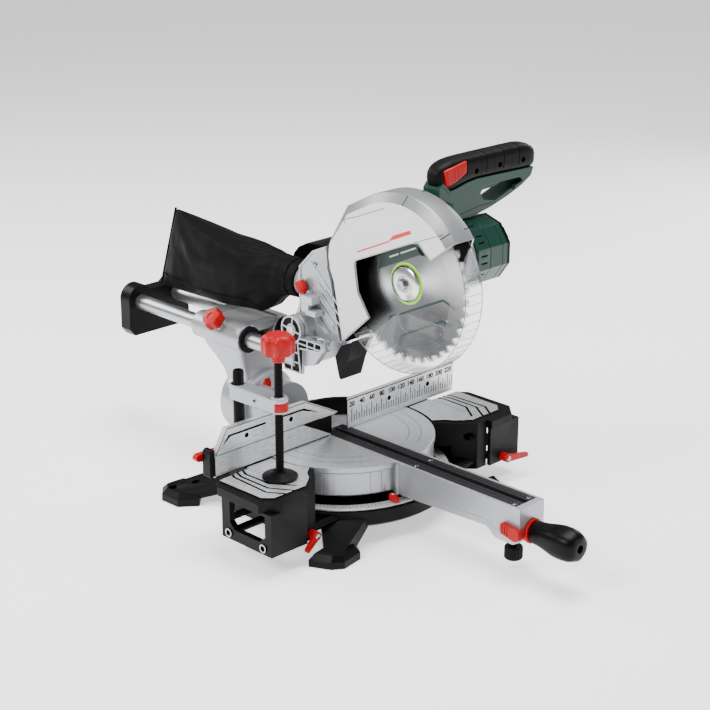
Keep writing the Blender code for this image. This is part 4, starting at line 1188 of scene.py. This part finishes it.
def build_casting():
    y, z = CHOP
    ribs = []
    for points, width in (
        ([(13, 322), (-3, 306), (-19, 290)], 2.2), ([(24, 318), (6, 300), (-21, 277)], 2.2),
        ([(33, 308), (14, 290), (-23, 263)], 2.2), ([(36, 290), (20, 276), (-14, 252)], 2.2),
        ([(38, 274), (28, 262), (8, 247)], 2.2),
        ([(66, 240), (60, 278), (60, 333), (36, 357), (9, 369)], 3.0),
        ([(42, 345), (22, 330), (13, 322)], 2.4),
        ([(-17, 243), (-9, 283), (0, 325), (7, 344)], 2.2),
    ):
        ribs.append(prism("X", -21.6, -19.6, ribbon(points, width)))
    # Dark lines beside the ribs: painted shadows.
    shadows = []
    for points in ([(10, 311), (-18, 284.5)], [(17, 304), (-20, 271)], [(24, 294), (-18, 257.5)],
                   [(32, 277), (0, 250)]):
        shadows.append(prism("X", -20.12, -19.9, ribbon(points, 1.2)))
    refined("head_casting", ["cast_silver", "dark_seam_and_painted_shade"], bevel=0.8)
    piece("head_casting_ribs", join(*ribs), "head_casting", ["cast_silver"], stands=False,
          bevel=0.4)
    piece("head_casting_painted_shadows", join(*shadows), "head_casting", ["dark_seam_and_painted_shade"], stands=False)
    collar = turned("Y", *PORT, [(19.0, 50), (25.0, 50), (25.0, 60.5), (23.8, 62.0),
                                 (19.0, 62.0)], 64)
    piece("head_casting_port", collar, "head_casting", ["cast_silver"], stands=False, bevel=0.6)
    blocks = [box((-37.5, -20.4), (20, 41.5), (288, 300)),
              box((-36.5, -20.4), (14, 34), (272, 280.5))]
    piece("head_casting_stop_blocks", join(*blocks), "head_casting", ["cast_silver"], stands=False,
          bevel=1.4)
    ring = turned("X", y, z, [(9, -38.3), (19, -38.3), (20, -37.4), (20, -35), (9, -35)], 56)
    piece("head_casting_boss_ring", ring, "head_casting", ["cast_silver"], stands=False)
    heads = [screw((-21.0, u, v), (-1, 0, 0), 3.6, 1.8) for u,
             v in ((57, 262), (30, 342), (-10, 262))]
    heads += [screw((60.0, BLADE[0] + 34 * math.cos(a), BLADE[1] + 34 * math.sin(a)), (1, 0, 0),
                    3.4, 1.8)
              for a in (math.radians(d) for d in (-20, 200, 290))]
    piece("head_casting_screws", join(*heads), "head_casting", ["steel"], stands=False)


def build_motor():
    y, z = ROTOR
    half = math.pi / 10
    shell = prism("X", 60.3, 118.0, circle(y, z, 46.0, 10, half))
    cuts = [disc("X", y, z, 24.0, 63, 125, 40), disc("X", y, z, 9.6, 50, 70, 24)]
    for k in range(10):
        angle = half + math.tau * (k + 0.5) / 10
        out = Vector((math.cos(angle), math.sin(angle)))
        side = Vector((-out.y, out.x))
        middle = Vector((y, z)) + out * 44.4
        for shift in (-5.0, 5.0):
            spot = middle + side * shift
            slot = [tuple(spot + out * a + side * b)
                    for a, b in ((-2.0, -1.2), (-2.0, 1.2), (3.0, 1.2), (3.0, -1.2))]
            cuts.append(prism("X", 66, 78, slot))
    for x in (84.0, 108.0):
        cuts.append(turned("X", y, z, [(43.9, x), (49, x), (49, x + 0.8), (43.9, x + 0.8)], 10,
                           math.degrees(half), math.degrees(half) + 360))
    # The inside walls of the slots take the near-black: painted shade.
    shape = carve(shell, cuts)
    piece("motor_housing_shell", shape, "motor_housing", ["green", "dark_seam_and_painted_shade"], bevel=0.9,
          segments=3,
          pick=lambda c, n: 1 if (c.yz - Vector((y, z))).length < 43.3 and 65 < c.x < 79 else 0)
    ring = [Vector((x, a, b)) for x, r in ((118.3, 46.0), (123.0, 46.0), (129.0, 38.5),
                                           (131.0, 35.5))
            for a, b in circle(y, z, r, 10, half)]
    crown = hull(ring)
    cuts = [disc("X", y, z, 5.3, 110, 126, 24), disc("X", y, z, 27.0, 129.6, 140, 60)]
    for k in range(8):
        angle = math.tau * k / 8
        out = Vector((math.cos(angle), math.sin(angle)))
        ends = [tuple(Vector((y, z)) + out * 10), tuple(Vector((y, z)) + out * 23)]
        cuts.append(prism("X", 127.0, 140, ribbon(ends, 3.0)))
    piece("motor_end_cap_shell", carve(crown, cuts), "motor_end_cap", ["plastic_black"], bevel=1.0,
          segments=3)
    insets = []
    for k in (1, 3, 6, 8):
        first = half + math.tau * (k + 0.22) / 10
        last = half + math.tau * (k + 0.78) / 10
        corners = []
        for x, r in ((123.6, 45.6), (127.4, 40.6)):
            for angle in (first, last):
                turn = (angle - half) % (math.tau / 10) - math.pi / 10
                scale = math.cos(math.pi / 10) / math.cos(turn)
                corners.append(Vector((x, y + r * scale * math.cos(angle),
                                       z + r * scale * math.sin(angle))))
        out = Vector((0.7, math.cos((first + last) / 2),
                      math.sin((first + last) / 2))).normalized()
        insets.append(hull([p + out * d for p in corners for d in (-1.2, 0.5)]))
    piece("motor_end_cap_insets", join(*insets), "motor_end_cap", ["green"], stands=False)
    heads = [screw((129.4, y + 31 * math.cos(a), z + 31 * math.sin(a)), (1, 0, 0), 3.0, 1.4)
             for a in (math.radians(d) for d in (45, 135, 225, 315))]
    piece("motor_end_cap_screws", join(*heads), "motor_end_cap", ["steel"], stands=False)


# The grip across X: place, half width, lowest and highest
GRIP = (
    (25, 6, 478, 489), (28, 10.5, 473, 494), (33, 13.5, 467.5, 498), (40, 15.6, 464.6, 501),
    (50, 17, 464.0, 503.6), (64, 17, 467.4, 505), (80, 17, 470.6, 505.4), (98, 16.6, 472.2, 505.4),
    (150, 16.4, 471.2, 505.4), (192, 16.4, 469.6, 505.2), (204, 16, 469.4, 503.6),
    (213, 14.6, 469.4, 499.6), (219, 11.6, 472, 495.5), (222.6, 6.5, 477, 490),
)
GRIP_POWER = 3.4


def grip_at(x):
    for one, two in zip(GRIP, GRIP[1:]):
        if one[0] <= x <= two[0]:
            share = (x - one[0]) / (two[0] - one[0])
            return [a + (b - a) * share for a, b in zip(one, two)][1:]
    return GRIP[-1][1:]


def grip_ring(x, count=56, grow=0.0):
    half, low, high = grip_at(x)
    middle, tall = (low + high) / 2, (high - low) / 2 + grow
    ring = []
    for k in range(count):
        c, s = math.cos(math.tau * k / count), math.sin(math.tau * k / count)
        reach = (abs(c) ** GRIP_POWER + abs(s) ** GRIP_POWER) ** (-1 / GRIP_POWER)
        ring.append(Vector((x, HANDLE_Y + (half + grow) * reach * c, middle + tall * reach * s)))
    return ring


def grip_side(x, z):
    """How far the near side of the grip stands from its middle plane."""
    half, low, high = grip_at(x)
    share = min(0.985, abs(z - (low + high) / 2) / ((high - low) / 2))
    return half * (1 - share ** GRIP_POWER) ** (1 / GRIP_POWER)


def button_shape():
    """The lock-off button: a raised patch that follows the grip's side, with three ridges."""
    corners = ((37.5, 471.5), (74, 485.5), (75, 501.0), (35.0, 493.0))
    shape = bmesh.new()
    steps_u, steps_v = 36, 16
    fronts, backs = [], []
    for i in range(steps_u + 1):
        u = i / steps_u
        row_front, row_back = [], []
        for j in range(steps_v + 1):
            v = j / steps_v
            round_u = u if 0.06 < v < 0.94 else 0.03 + u * 0.94
            (ax, az), (bx, bz), (cx, cz), (dx, dz) = corners
            low = (ax + (bx - ax) * round_u, az + (bz - az) * round_u ** 1.25)
            high = (dx + (cx - dx) * round_u, dz + (cz - dz) * round_u ** 0.7)
            x, z = low[0] + (high[0] - low[0]) * v, low[1] + (high[1] - low[1]) * v
            edge = min(1.0, min(u, 1 - u) * 14, min(v, 1 - v) * 9)
            ridge = sum(math.exp(-((u - spot) / 0.028) ** 2) for spot in (0.36, 0.52, 0.68))
            rise = 0.6 + 1.5 * math.sqrt(max(0.0, edge)) - 1.0 * ridge * (0.16 < v < 0.84)
            y = HANDLE_Y - grip_side(x, z) - rise
            row_front.append(shape.verts.new((x, y, z)))
            row_back.append(shape.verts.new((x, max(y + 4.0, HANDLE_Y - 11.0), z)))
        fronts.append(row_front)
        backs.append(row_back)
    for sheet in (fronts, backs):
        for i in range(steps_u):
            for j in range(steps_v):
                shape.faces.new((sheet[i][j], sheet[i + 1][j], sheet[i + 1][j + 1],
                                 sheet[i][j + 1]))
    loops = []
    for sheet in (fronts, backs):
        loops.append([row[0] for row in sheet] + sheet[-1][1:] + [row[-1] for row in sheet[-2::-1]]
                     + sheet[0][-2:0:-1])
    count = len(loops[0])
    for k in range(count):
        other = (k + 1) % count
        shape.faces.new((loops[0][k], loops[0][other], loops[1][other], loops[1][k]))
    return shape


def build_handle():
    y = HANDLE_Y
    top = [(214, 470.5), (204, 471.0), (150, 472.4), (98, 473.6), (78, 471.4), (60, 467.6),
           (46, 465.6)]
    body = [(30, 424), (64, 424), (88, 422.6), (128, 430), (165, 440), (190, 449), (209, 459)]
    body += top + [(33, 478), (26, 470), (25, 448)]
    opening = [(106, 452), (113, 461), (186, 460.5), (191, 455), (162, 446.4), (135, 438),
               (112, 443)]
    foot = hull([Vector((x, b, z)) for x in (22.3, 40)
                 for b, z in ((-172, 424), (-108, 424), (-112, 452), (-166, 452))])
    cuts = [prism("Y", y - 40, y + 40, opening), box((105, 160), (y - 8.3, y + 8.3), (450, 480))]
    shape = carve(prism("Y", y - 15, y + 15, body), cuts, [foot])
    piece("handle_loop", shape, "handle_body", ["green"], bevel=3.0, segments=5, limit=40)
    seam = [prism("Y", y - 15.12, y - 14.9, ribbon(path, 0.7)) for path in (
        [(28, 474), (36, 470), (44, 461)], [(66, 431), (108, 436), (135, 435)],
    )]
    piece("handle_loop_seam", join(*seam), "handle_body", ["dark_seam_and_painted_shade"], stands=False)
    boss = turned("Y", 172, 449.5, [(1.6, y - 15.3), (3.6, y - 15.3), (3.6, y - 14),
                                    (1.6, y - 14)], 28)
    piece("handle_loop_boss", boss, "handle_body", ["dark_seam_and_painted_shade"], stands=False)
    stations = [25 + 3.0 * k for k in range(66)] + [222.6]
    cuts = [disc("Y", x, z, 3.9, y + side * 9, y + side * 20, 32)
            for x, z in ((95, 484), (142, 485), (190, 484)) for side in (-1, 1)]
    for x in (117, 152, 183):
        path = grip_ring(x, 72)[12:43]
        path = [point + Vector((-3.0 * abs(k - 6) / 24, 0, 0)) for k, point in enumerate(path)]
        cuts.append(wire(path, 1.0, 8))
    pocket = [hull([p + Vector((0, shift, 0)) for shift in (-14.0, 0.0) for p in (
        Vector((35.0, y - 11.5, 469.5)), Vector((76.5, y - 11.5, 484)),
        Vector((77.5, y - 11.5, 502.6)),
        Vector((33.0, y - 11.5, 494.6)))])]
    grip = carve(loft([grip_ring(x) for x in stations]), cuts + pocket)
    piece("handle_grip_shell", grip, "handle_grip", ["rubber_black"], sharp=38)
    lines = []
    for x in (106, 131, 167):
        path = grip_ring(x, 72, 0.02)[10:50]
        lines.append(wire(path, 0.22, 6))
    piece("handle_grip_lines", join(*lines), "handle_grip", ["plastic_black"], stands=False)
    piece("lock_off_button_body", button_shape(), "lock_off_button", ["red"], sharp=50)
    outline = [(107, 466), (106, 459), (109, 454.6), (116, 452.8), (140, 453.4), (150, 455.6),
               (156, 459.5), (157, 466)]
    piece("trigger_blade", prism("Y", y - 8, y + 8, outline), "trigger", ["green"],
          bevel=2.2, segments=4)


def build_dust():
    tube = turned("Y", *PORT, [
        (19.0, 62.3), (21.0, 62.3), (22.0, 63.6), (22.0, 96.0), (19.4, 96.0), (19.0, 95.0),
    ], 64)
    piece("dust_chute_tube", tube, "dust_chute", ["silver_paint"])
    refined("dust_flap", ["rubber_black"], bevel=0.5)
    outline = [(52, 290), (50, 322), (51, 331), (56, 340), (66, 346), (88, 347), (108, 345),
               (126, 336),
               (136, 325), (140, 314), (140, 290)]
    cuts = []
    for z in (300, 304, 308):
        cuts.append(prism("X", 101, 104, ribbon([(66, z), (126, z)], 1.4)))
    cuts.append(box((60, 61), (40, 150), (286, 292)))
    shape = carve(prism("X", 38.4, 102, outline), cuts)
    piece("battery_pack_case", shape, "battery_pack", ["plastic_black"], bevel=2.6, segments=4)
    clip = prism("X", 60, 84, [(139.6, 296), (139.6, 308), (141.4, 306), (141.6, 298)])
    piece("battery_pack_latch", clip, "battery_pack", ["red"], stands=False, bevel=0.5)


# The bag from neck to rear seam: top point, bottom point (Y, Z) and half width
BAG = (
    (73, 329.5, 73, 282.5, 24.2), (84, 330.5, 84, 281.5, 25.0), (95, 332, 96, 280, 26.0),
    (110, 334.5, 113, 272, 28.0), (126, 337.5, 134, 254, 30.5), (144, 340.5, 154, 243.5, 33.5),
    (176, 343.5, 190, 240.5, 36.5), (216, 346.5, 236, 238.5, 37.0), (256, 349.5, 282, 236.5, 34.5),
    (294, 352.5, 326, 233.8, 28.5), (324, 355, 360, 231.6, 20.5), (342, 356.4, 380, 230.8, 12.0),
    (351, 357, 391, 230.4, 4.5), (354, 357, 395.5, 230.4, 1.0),
)
BAG_SIDES = 84


def bag_sections():
    """The bag's sections, with even steps of about 6 mm between them."""
    stations = [BAG[0]]
    for one, two in zip(BAG, BAG[1:]):
        steps = max(1, round((two[0] - one[0]) / 6.0))
        for k in range(1, steps + 1):
            stations.append(tuple(a + (b - a) * k / steps for a, b in zip(one, two)))
    return stations


def bag_ring(section):
    """A rounded, slightly square ring of points in the section's own slanted plane."""
    top_y, top_z, low_y, low_z, half = section
    ring = []
    for k in range(BAG_SIDES):
        angle = math.tau * k / BAG_SIDES
        c, s = math.cos(angle), math.sin(angle)
        reach = (abs(c) ** 2.5 + abs(s) ** 2.5) ** (-1 / 2.5)
        share = (1 + reach * s) / 2
        ring.append(Vector((2 + half * reach * c, low_y + (top_y - low_y) * share,
                            low_z + (top_z - low_z) * share)))
    return ring


def build_bag():
    ripple = noise_values()
    sections = bag_sections()
    rings = []
    for j, section in enumerate(sections):
        share = j / (len(sections) - 1)
        middle = Vector((2, (section[0] + section[2]) / 2, (section[1] + section[3]) / 2))
        body = max(0.0, min(1.0, (share - 0.06) * 9))
        ring = []
        for k, point in enumerate(bag_ring(section)):
            angle = math.tau * k / BAG_SIDES
            out = point - middle
            wide = min(1.0, abs(out.x) / 10 + 0.25)
            out.normalize()
            fold = 0.5 * math.sin(15 * angle + 0.7) * math.exp(-((share - 0.09) / 0.07) ** 2)
            gather = 1.9 * math.sin(10 * angle
                                    + 5 * share) * math.exp(-((share - 0.20) / 0.09) ** 2)
            slant = 1.4 * math.sin(3 * angle
                                   + 14 * share) * math.exp(-((share - 0.42) / 0.20) ** 2)
            tuck = -2.2 * math.exp(-(((share - 0.155) / 0.022) ** 2)) * body
            height = (fold + (gather + slant + ripple(angle, share) * 1.2) * wide * body
                      + tuck - 0.8)
            ring.append(point + out * height)
        rings.append(ring)
    shape = loft(rings, closed_ends=False)
    shape.faces.new(shape.verts[-BAG_SIDES:])
    shape.verts.ensure_lookup_table()
    thing = piece("dust_bag_cloth", shape, "dust_bag", ["fabric_black"], thick=0.9, subdiv=1,
                  sharp=180)
    simulate_bag(thing)
    rear = [point + Vector((2 - point.x, 1.6, 0)) for point in bag_ring(sections[-1])[21:64]]
    lower = []
    for section in sections[12:]:
        ring = bag_ring(section)
        lower.append(ring[51] + Vector((-0.4, 0, -0.4)))
    piece("dust_bag_piping", join(wire(rear, 1.9, 10), wire(lower, 0.9, 8)), "dust_bag",
          ["fabric_black"], stands=False)
    band = turned("Y", *PORT, [(22.5, 73.4), (25.8, 73.2), (26.8, 75), (26.2, 79), (27.0, 83),
                                    (26.0, 86.4), (22.5, 86)], 72)
    piece("dust_bag_collar", band, "dust_bag", ["fabric_black"], stands=False)
    cuff = wire([(PORT[0] + 27.4 * math.cos(a), 90.0, PORT[1] + 26.4 * math.sin(a))
                 for a in (math.tau * k / 60 for k in range(61))], 0.8, 8)
    piece("dust_bag_stitching", cuff, "dust_bag", ["plastic_black"], stands=False)


def noise_values():
    """A smooth, repeatable ripple over the bag, from a few long waves."""
    waves = ((3, 7.0, 0.3, 0.45), (5, 12.0, 1.9, 0.30), (2, 17.0, 4.1, 0.35), (7, 5.0, 2.6, 0.22))

    def value(angle, share):
        total = 0.0
        for turns, along, phase, size in waves:
            total += size * math.sin(turns * angle + along * share + phase)
        return total
    return value


# The share of the settled cloth's movement that the bag takes
SETTLE = 0.45


def simulate_bag(thing):
    """Let the cloth settle with a little air in it, held at its mouth and its rear seam."""
    mesh = thing.data
    group = thing.vertex_groups.new(name="held")
    for vertex in mesh.vertices:
        y, z = vertex.co.y / MM, vertex.co.z / MM
        if y < 112 or y + 0.33 * z > 462:
            group.add([vertex.index], 1.0, "REPLACE")
    cloth = thing.modifiers.new("cloth", "CLOTH")
    while thing.modifiers[0].name != "cloth":
        thing.modifiers.move(len(thing.modifiers) - 1, 0)
    settings = cloth.settings
    for key, value in (
        ("quality", 6), ("mass", 0.25), ("tension_stiffness", 25), ("compression_stiffness", 18),
        ("shear_stiffness", 8), ("bending_stiffness", 0.6), ("use_pressure", True),
        ("uniform_pressure_force", 3.0), ("vertex_group_mass", "held"), ("shrink_min", -0.010),
        ("shrink_max", -0.010),
    ):
        setattr(settings, key, value)
    settings.effector_weights.gravity = 0.12
    cloth.point_cache.frame_start = 1
    cloth.point_cache.frame_end = 20
    scene = bpy.context.scene
    for number in range(1, 21):
        scene.frame_set(number)
    bpy.context.view_layer.update()
    for modifier in thing.modifiers:
        modifier.show_viewport = modifier.name == "cloth"
    bpy.context.view_layer.update()
    settled = thing.evaluated_get(bpy.context.evaluated_depsgraph_get())
    done = settled.to_mesh()
    places = [vertex.co.copy() for vertex in done.vertices]
    settled.to_mesh_clear()
    thing.modifiers.remove(cloth)
    for vertex, place in zip(mesh.vertices, places):
        vertex.co = vertex.co.lerp(place, SETTLE)
    for modifier in thing.modifiers:
        modifier.show_viewport = True
    scene.frame_set(1)


def build_depth_stop():
    along = (Vector((0, 38.6, 313.4)) - Vector((0, 5.4, 266.4))).normalized()
    place = facing((-28.5, 33, 285), along)
    knob = turned("Z", 0, 0, [
        (0, 18), (5.6, 18), (5.6, 21), (7.5, 22), (7.5, 34), (6.4, 36), (3, 36), (2.6, 35.2),
        (0, 35.2),
    ], 96, ripple=flutes(12, 0.05, 7))
    piece("depth_stop_knob", moved(knob, place), "depth_stop_screw", ["red"], sharp=40)
    threads = [(0, -26), (1.8, -26)]
    for k in range(34):
        w = -25.4 + 1.3 * k
        threads += [(2.5, w), (2.0, w + 0.65)]
    threads += [(2.4, 19), (0, 19)]
    bar = turned("Z", 0, 0, threads, 24)
    piece("depth_stop_thread", moved(bar, place), "depth_stop_screw", ["steel"], stands=False)
    nut = disc("Z", 0, 0, 4.6, -16.5, -12.0, 6)
    piece("depth_stop_nut", moved(nut, place), "depth_stop_screw", ["steel"], stands=False,
          bevel=0.4)


# Guard and blade

def build_guard():
    y, z = BLADE
    profile = [
        (90, -17.0), (117.4, -17.0), (118.5, -15.9), (118.5, 13.4), (117.4, 14.5), (33, 14.5),
        (33, 12.0), (116, 12.0), (116, -14.5), (90, -14.5),
    ]
    channel = turned("X", y, z, profile, 132, 139.0, 325.0)
    face = prism("X", -17.0, -14.5,
                 [(-79, 271), (-124, 309), (-127, 289.5), (-140, 284), (-140, 309.5)]
                 + arc(y, z, 90.0, 205, 300, 50))
    ring = turned("X", y, z, [(27.5, 12.4), (38, 12.4), (38, 14.1), (27.5, 14.1)], 64)
    piece("lower_guard_channel", join(channel, ring, face), "lower_guard", ["clear"], sharp=40)
    rims = [wire([(x, u, v) for u, v in arc(y, z, 117.3, 140, 324, 120)], 0.7, 8)
            for x in (-17.0, 14.5)]
    ends = [wire([(-17.0, y + r * math.cos(a), z + r * math.sin(a)) for r in (90, 100, 110, 117)],
                 0.9, 8)
            for a in (math.radians(140), math.radians(324))]
    notch = wire([(-17.0, u, v) for u, v in ((-124, 300), (-127, 289.5), (-140, 284),
                                             (-140, 309.5),
                                             (-204, 307))], 0.7, 8)
    piece("lower_guard_edges", join(*rims, notch, *ends), "lower_guard", ["guard_edge_painted_shade"],
          stands=False)
    ribs = []
    for k in range(27):
        out = heading(163 + 6 * k) * 118.3
        ribs.append(rod((-14.5, y + out.x, z + out.y), (12, y + out.x, z + out.y), 0.45, 6))
    piece("lower_guard_ribs", join(*ribs), "lower_guard", ["guard_edge_painted_shade"], stands=False)
    out = Vector((0, *heading(318)))
    side = Vector((0, -out.z, out.y))
    centre = Vector((0, y, z))
    corners = []
    for r, s in ((91, -6), (106, -6), (106, 5), (91, 8)):
        for x in (-19.6, -17.1):
            corners.append(centre + out * r + side * s + Vector((x, 0, 0)))
    piece("lower_guard_bracket", hull(corners), "lower_guard", ["plastic_black"], stands=False,
          bevel=0.6)
    piece("lower_guard_screw", screw(centre + out * 99 + Vector((-19.6, 0, 0)), (-1, 0, 0), 3.2,
                                     1.4),
          "lower_guard", ["steel"], stands=False)


def blade_outline():
    points = []
    step = math.tau / TEETH
    profile = ((0.0, 0.0), (0.10, 0.25), (0.34, 1.2), (0.46, 3.2), (0.56, 6.0), (0.66, 7.8),
               (0.78, 8.2),
               (0.90, 7.2), (0.955, 4.6))
    for k in range(TEETH):
        for part, depth in profile:
            angle = (k + part) * step
            points.append((BLADE[0] + (BLADE_R - depth) * math.cos(angle),
                           BLADE[1] + (BLADE_R - depth) * math.sin(angle)))
    return points


def chord_point(across, along):
    """A place on the blade: across the printed band and along it."""
    return (BLADE[0] + 0.419 * across - 0.908 * along, BLADE[1] + 0.908 * across + 0.419 * along)


def build_blade():
    y, z = BLADE
    cuts = [disc("X", y, z, 15.0, -5, 5, 48)]
    for k in range(4):
        angle = math.radians(22 + 90 * k)
        points = [(y + r * math.cos(angle + t), z + r * math.sin(angle + t))
                  for r, t in ((108, 0.0), (98, 0.015), (90, 0.05), (84, 0.10))]
        cuts.append(prism("X", -3, 3, ribbon(points, 1.0)))
    piece("saw_blade_disc", carve(prism("X", -0.9, 0.9, blade_outline()), cuts), "saw_blade",
          ["blade"], sharp=30)
    tips = []
    step = math.tau / TEETH
    for k in range(TEETH):
        corners = []
        for part, depth in ((0.0, 0.0), (0.10, 0.25), (0.10, 4.0), (0.0, 4.2)):
            angle = (k + part) * step
            corners.append((y + (BLADE_R - depth) * math.cos(angle),
                            z + (BLADE_R - depth) * math.sin(angle)))
        tips.append(prism("X", -1.2, 1.2, corners))
    piece("saw_blade_tips", join(*tips), "saw_blade", ["steel"], stands=False)
    face = -0.9 - SKIN
    band = [chord_point(29.6, -42), chord_point(29.6, -20), chord_point(29.6, 0),
            chord_point(29.6, 46)]
    band += [chord_point(45, 46), chord_point(62, 46), chord_point(62, 0), chord_point(62, -28)]
    prints = [prism("X", face, -0.88, band)]
    for path in (
        [(-85.2, 264.5), (-93.8, 291.7), (-111.3, 299.1), (-187.8, 335.7), (-211.8, 328.4)],
        [(-110.5, 254.9), (-116.8, 271.2), (-187.7, 307.3), (-203.5, 303)],
    ):
        prints.append(prism("X", face, -0.88, ribbon(path, 3.2)))
    piece("saw_blade_prints", join(*prints), "saw_blade", ["ink_green"], stands=False)
    words = []
    for across, along, length in ((50, -22, 26), (50, 10, 38), (40, -16, 18), (40, 6, 30)):
        start, end = chord_point(across, along), chord_point(across, along + length)
        words.append(prism("X", face - SKIN, face + 0.01,
                           ribbon([start, end], 3.4 if across > 45 else 2.0)))
    piece("saw_blade_bars", join(*words), "saw_blade", ["ink_white"], stands=False)
    ring = turned("X", y, z, [(25.2, face), (28.5, face), (28.5, -0.88), (25.2, -0.88)], 80)
    piece("saw_blade_ring", ring, "saw_blade", ["ink_lime"], stands=False)
    cone = turned("X", y, z, [
        (0, -7.6), (9, -7.6), (21, -6.6), (24, -4.8), (25, -3.0), (25, -1.5), (0, -1.5),
    ], 80)
    piece("blade_flange_cone", cone, "blade_flange", ["flange"], sharp=40)
    bolt = turned("X", y, z, [(0, -13.0), (3.0, -13.0), (3.4, -14), (7.0, -14), (8.2, -13),
                              (8.2, -7.0), (0, -7.0)], 6)
    washer = turned("X", y, z, [(0, -8.6), (10.6, -8.6), (11.4, -8.0), (11.4, -7.2), (0, -7.2)],
                    40)
    piece("blade_flange_bolt", join(bolt, washer), "blade_flange", ["steel"], stands=False,
          bevel=0.4)
    refined("blade_spindle", ["steel"], bevel=0.4)
    refined("motor_rotor", ["steel"], bevel=0.5)


def build_clamp():
    beam = hull([Vector((a, b, z)) for a, b in circle(*POST, 11.8, 48) for z in (192.5, 213.0)]
                + [Vector((a, b, z)) for a, b in circle(*CLAMP, 12.0, 48) for z in (192.5, 213.0)])
    cuts = [disc("Z", *POST, 7.9, 180, 230, 40), disc("Z", *CLAMP, 6.0, 180, 230, 40)]
    piece("clamp_arm_beam", carve(beam, cuts), "clamp_arm", ["silver_paint"], bevel=2.4,
          segments=4,
          limit=40)
    grip = turned("Z", *CLAMP, [(11.0, 195.5), (13.0, 195.5), (13.4, 197), (13.4, 206),
                                (13.0, 207.5),
                                (11.0, 207.5)], 24, 200, 300)
    piece("clamp_arm_button", grip, "clamp_arm", ["red"], stands=False, bevel=0.5)
    top = turned("Z", *CLAMP, [(6.2, 212.8), (10.4, 212.8), (10.4, 213.6), (9.6, 214.3),
                               (6.2, 214.3)], 48)
    piece("clamp_arm_bush", top, "clamp_arm", ["silver_paint"], stands=False)
    hole = turned("X", -26, 203, [(0, -184.9), (1.9, -184.9), (1.9, -184.6), (0, -184.6)], 20)
    piece("clamp_arm_pin", hole, "clamp_arm", ["dark_seam_and_painted_shade"], stands=False)
    threads = [(0, 110.3), (4.4, 110.3)]
    for k in range(50):
        w = 111.0 + 3.0 * k
        threads += [(5.7, w), (5.7, w + 0.9), (4.3, w + 1.6), (4.3, w + 2.3)]
    threads += [(5.2, 262.0), (0, 262.0)]
    piece("clamp_screw_thread", turned("Z", *CLAMP, threads, 36), "clamp_screw",
          ["plastic_black"], sharp=40)
    knob = turned("Z", *CLAMP, [
        (0, 262.3), (8, 262.3), (9, 264), (10, 269), (14, 271.4), (20, 273), (22.4, 276),
        (22.6, 291),
        (21, 295.5), (17, 299), (10, 300), (0, 300),
    ], 96, ripple=flutes(8, 0.08, 13))
    piece("clamp_knob_wheel", knob, "clamp_knob", ["red"], sharp=50)
    pad = turned("Z", *CLAMP, [
        (0, 100.4), (22.8, 100.4), (23.8, 101.4), (23.8, 103.2), (22, 104.4), (12, 106.6),
        (9.6, 108),
        (9, 110), (0, 110),
    ], 64)
    piece("clamp_pad_foot", pad, "clamp_pad", ["rubber_black"], sharp=40)


# Assembly

build_base()
build_upper_fence()
build_extensions()
build_turntable()
build_column()
build_carriage()
build_cover()
build_casting()
build_motor()
build_handle()
build_dust()
build_bag()
build_depth_stop()
build_guard()
build_blade()
build_clamp()
stage_floor()
camera_and_light()
bpy.context.view_layer.update()
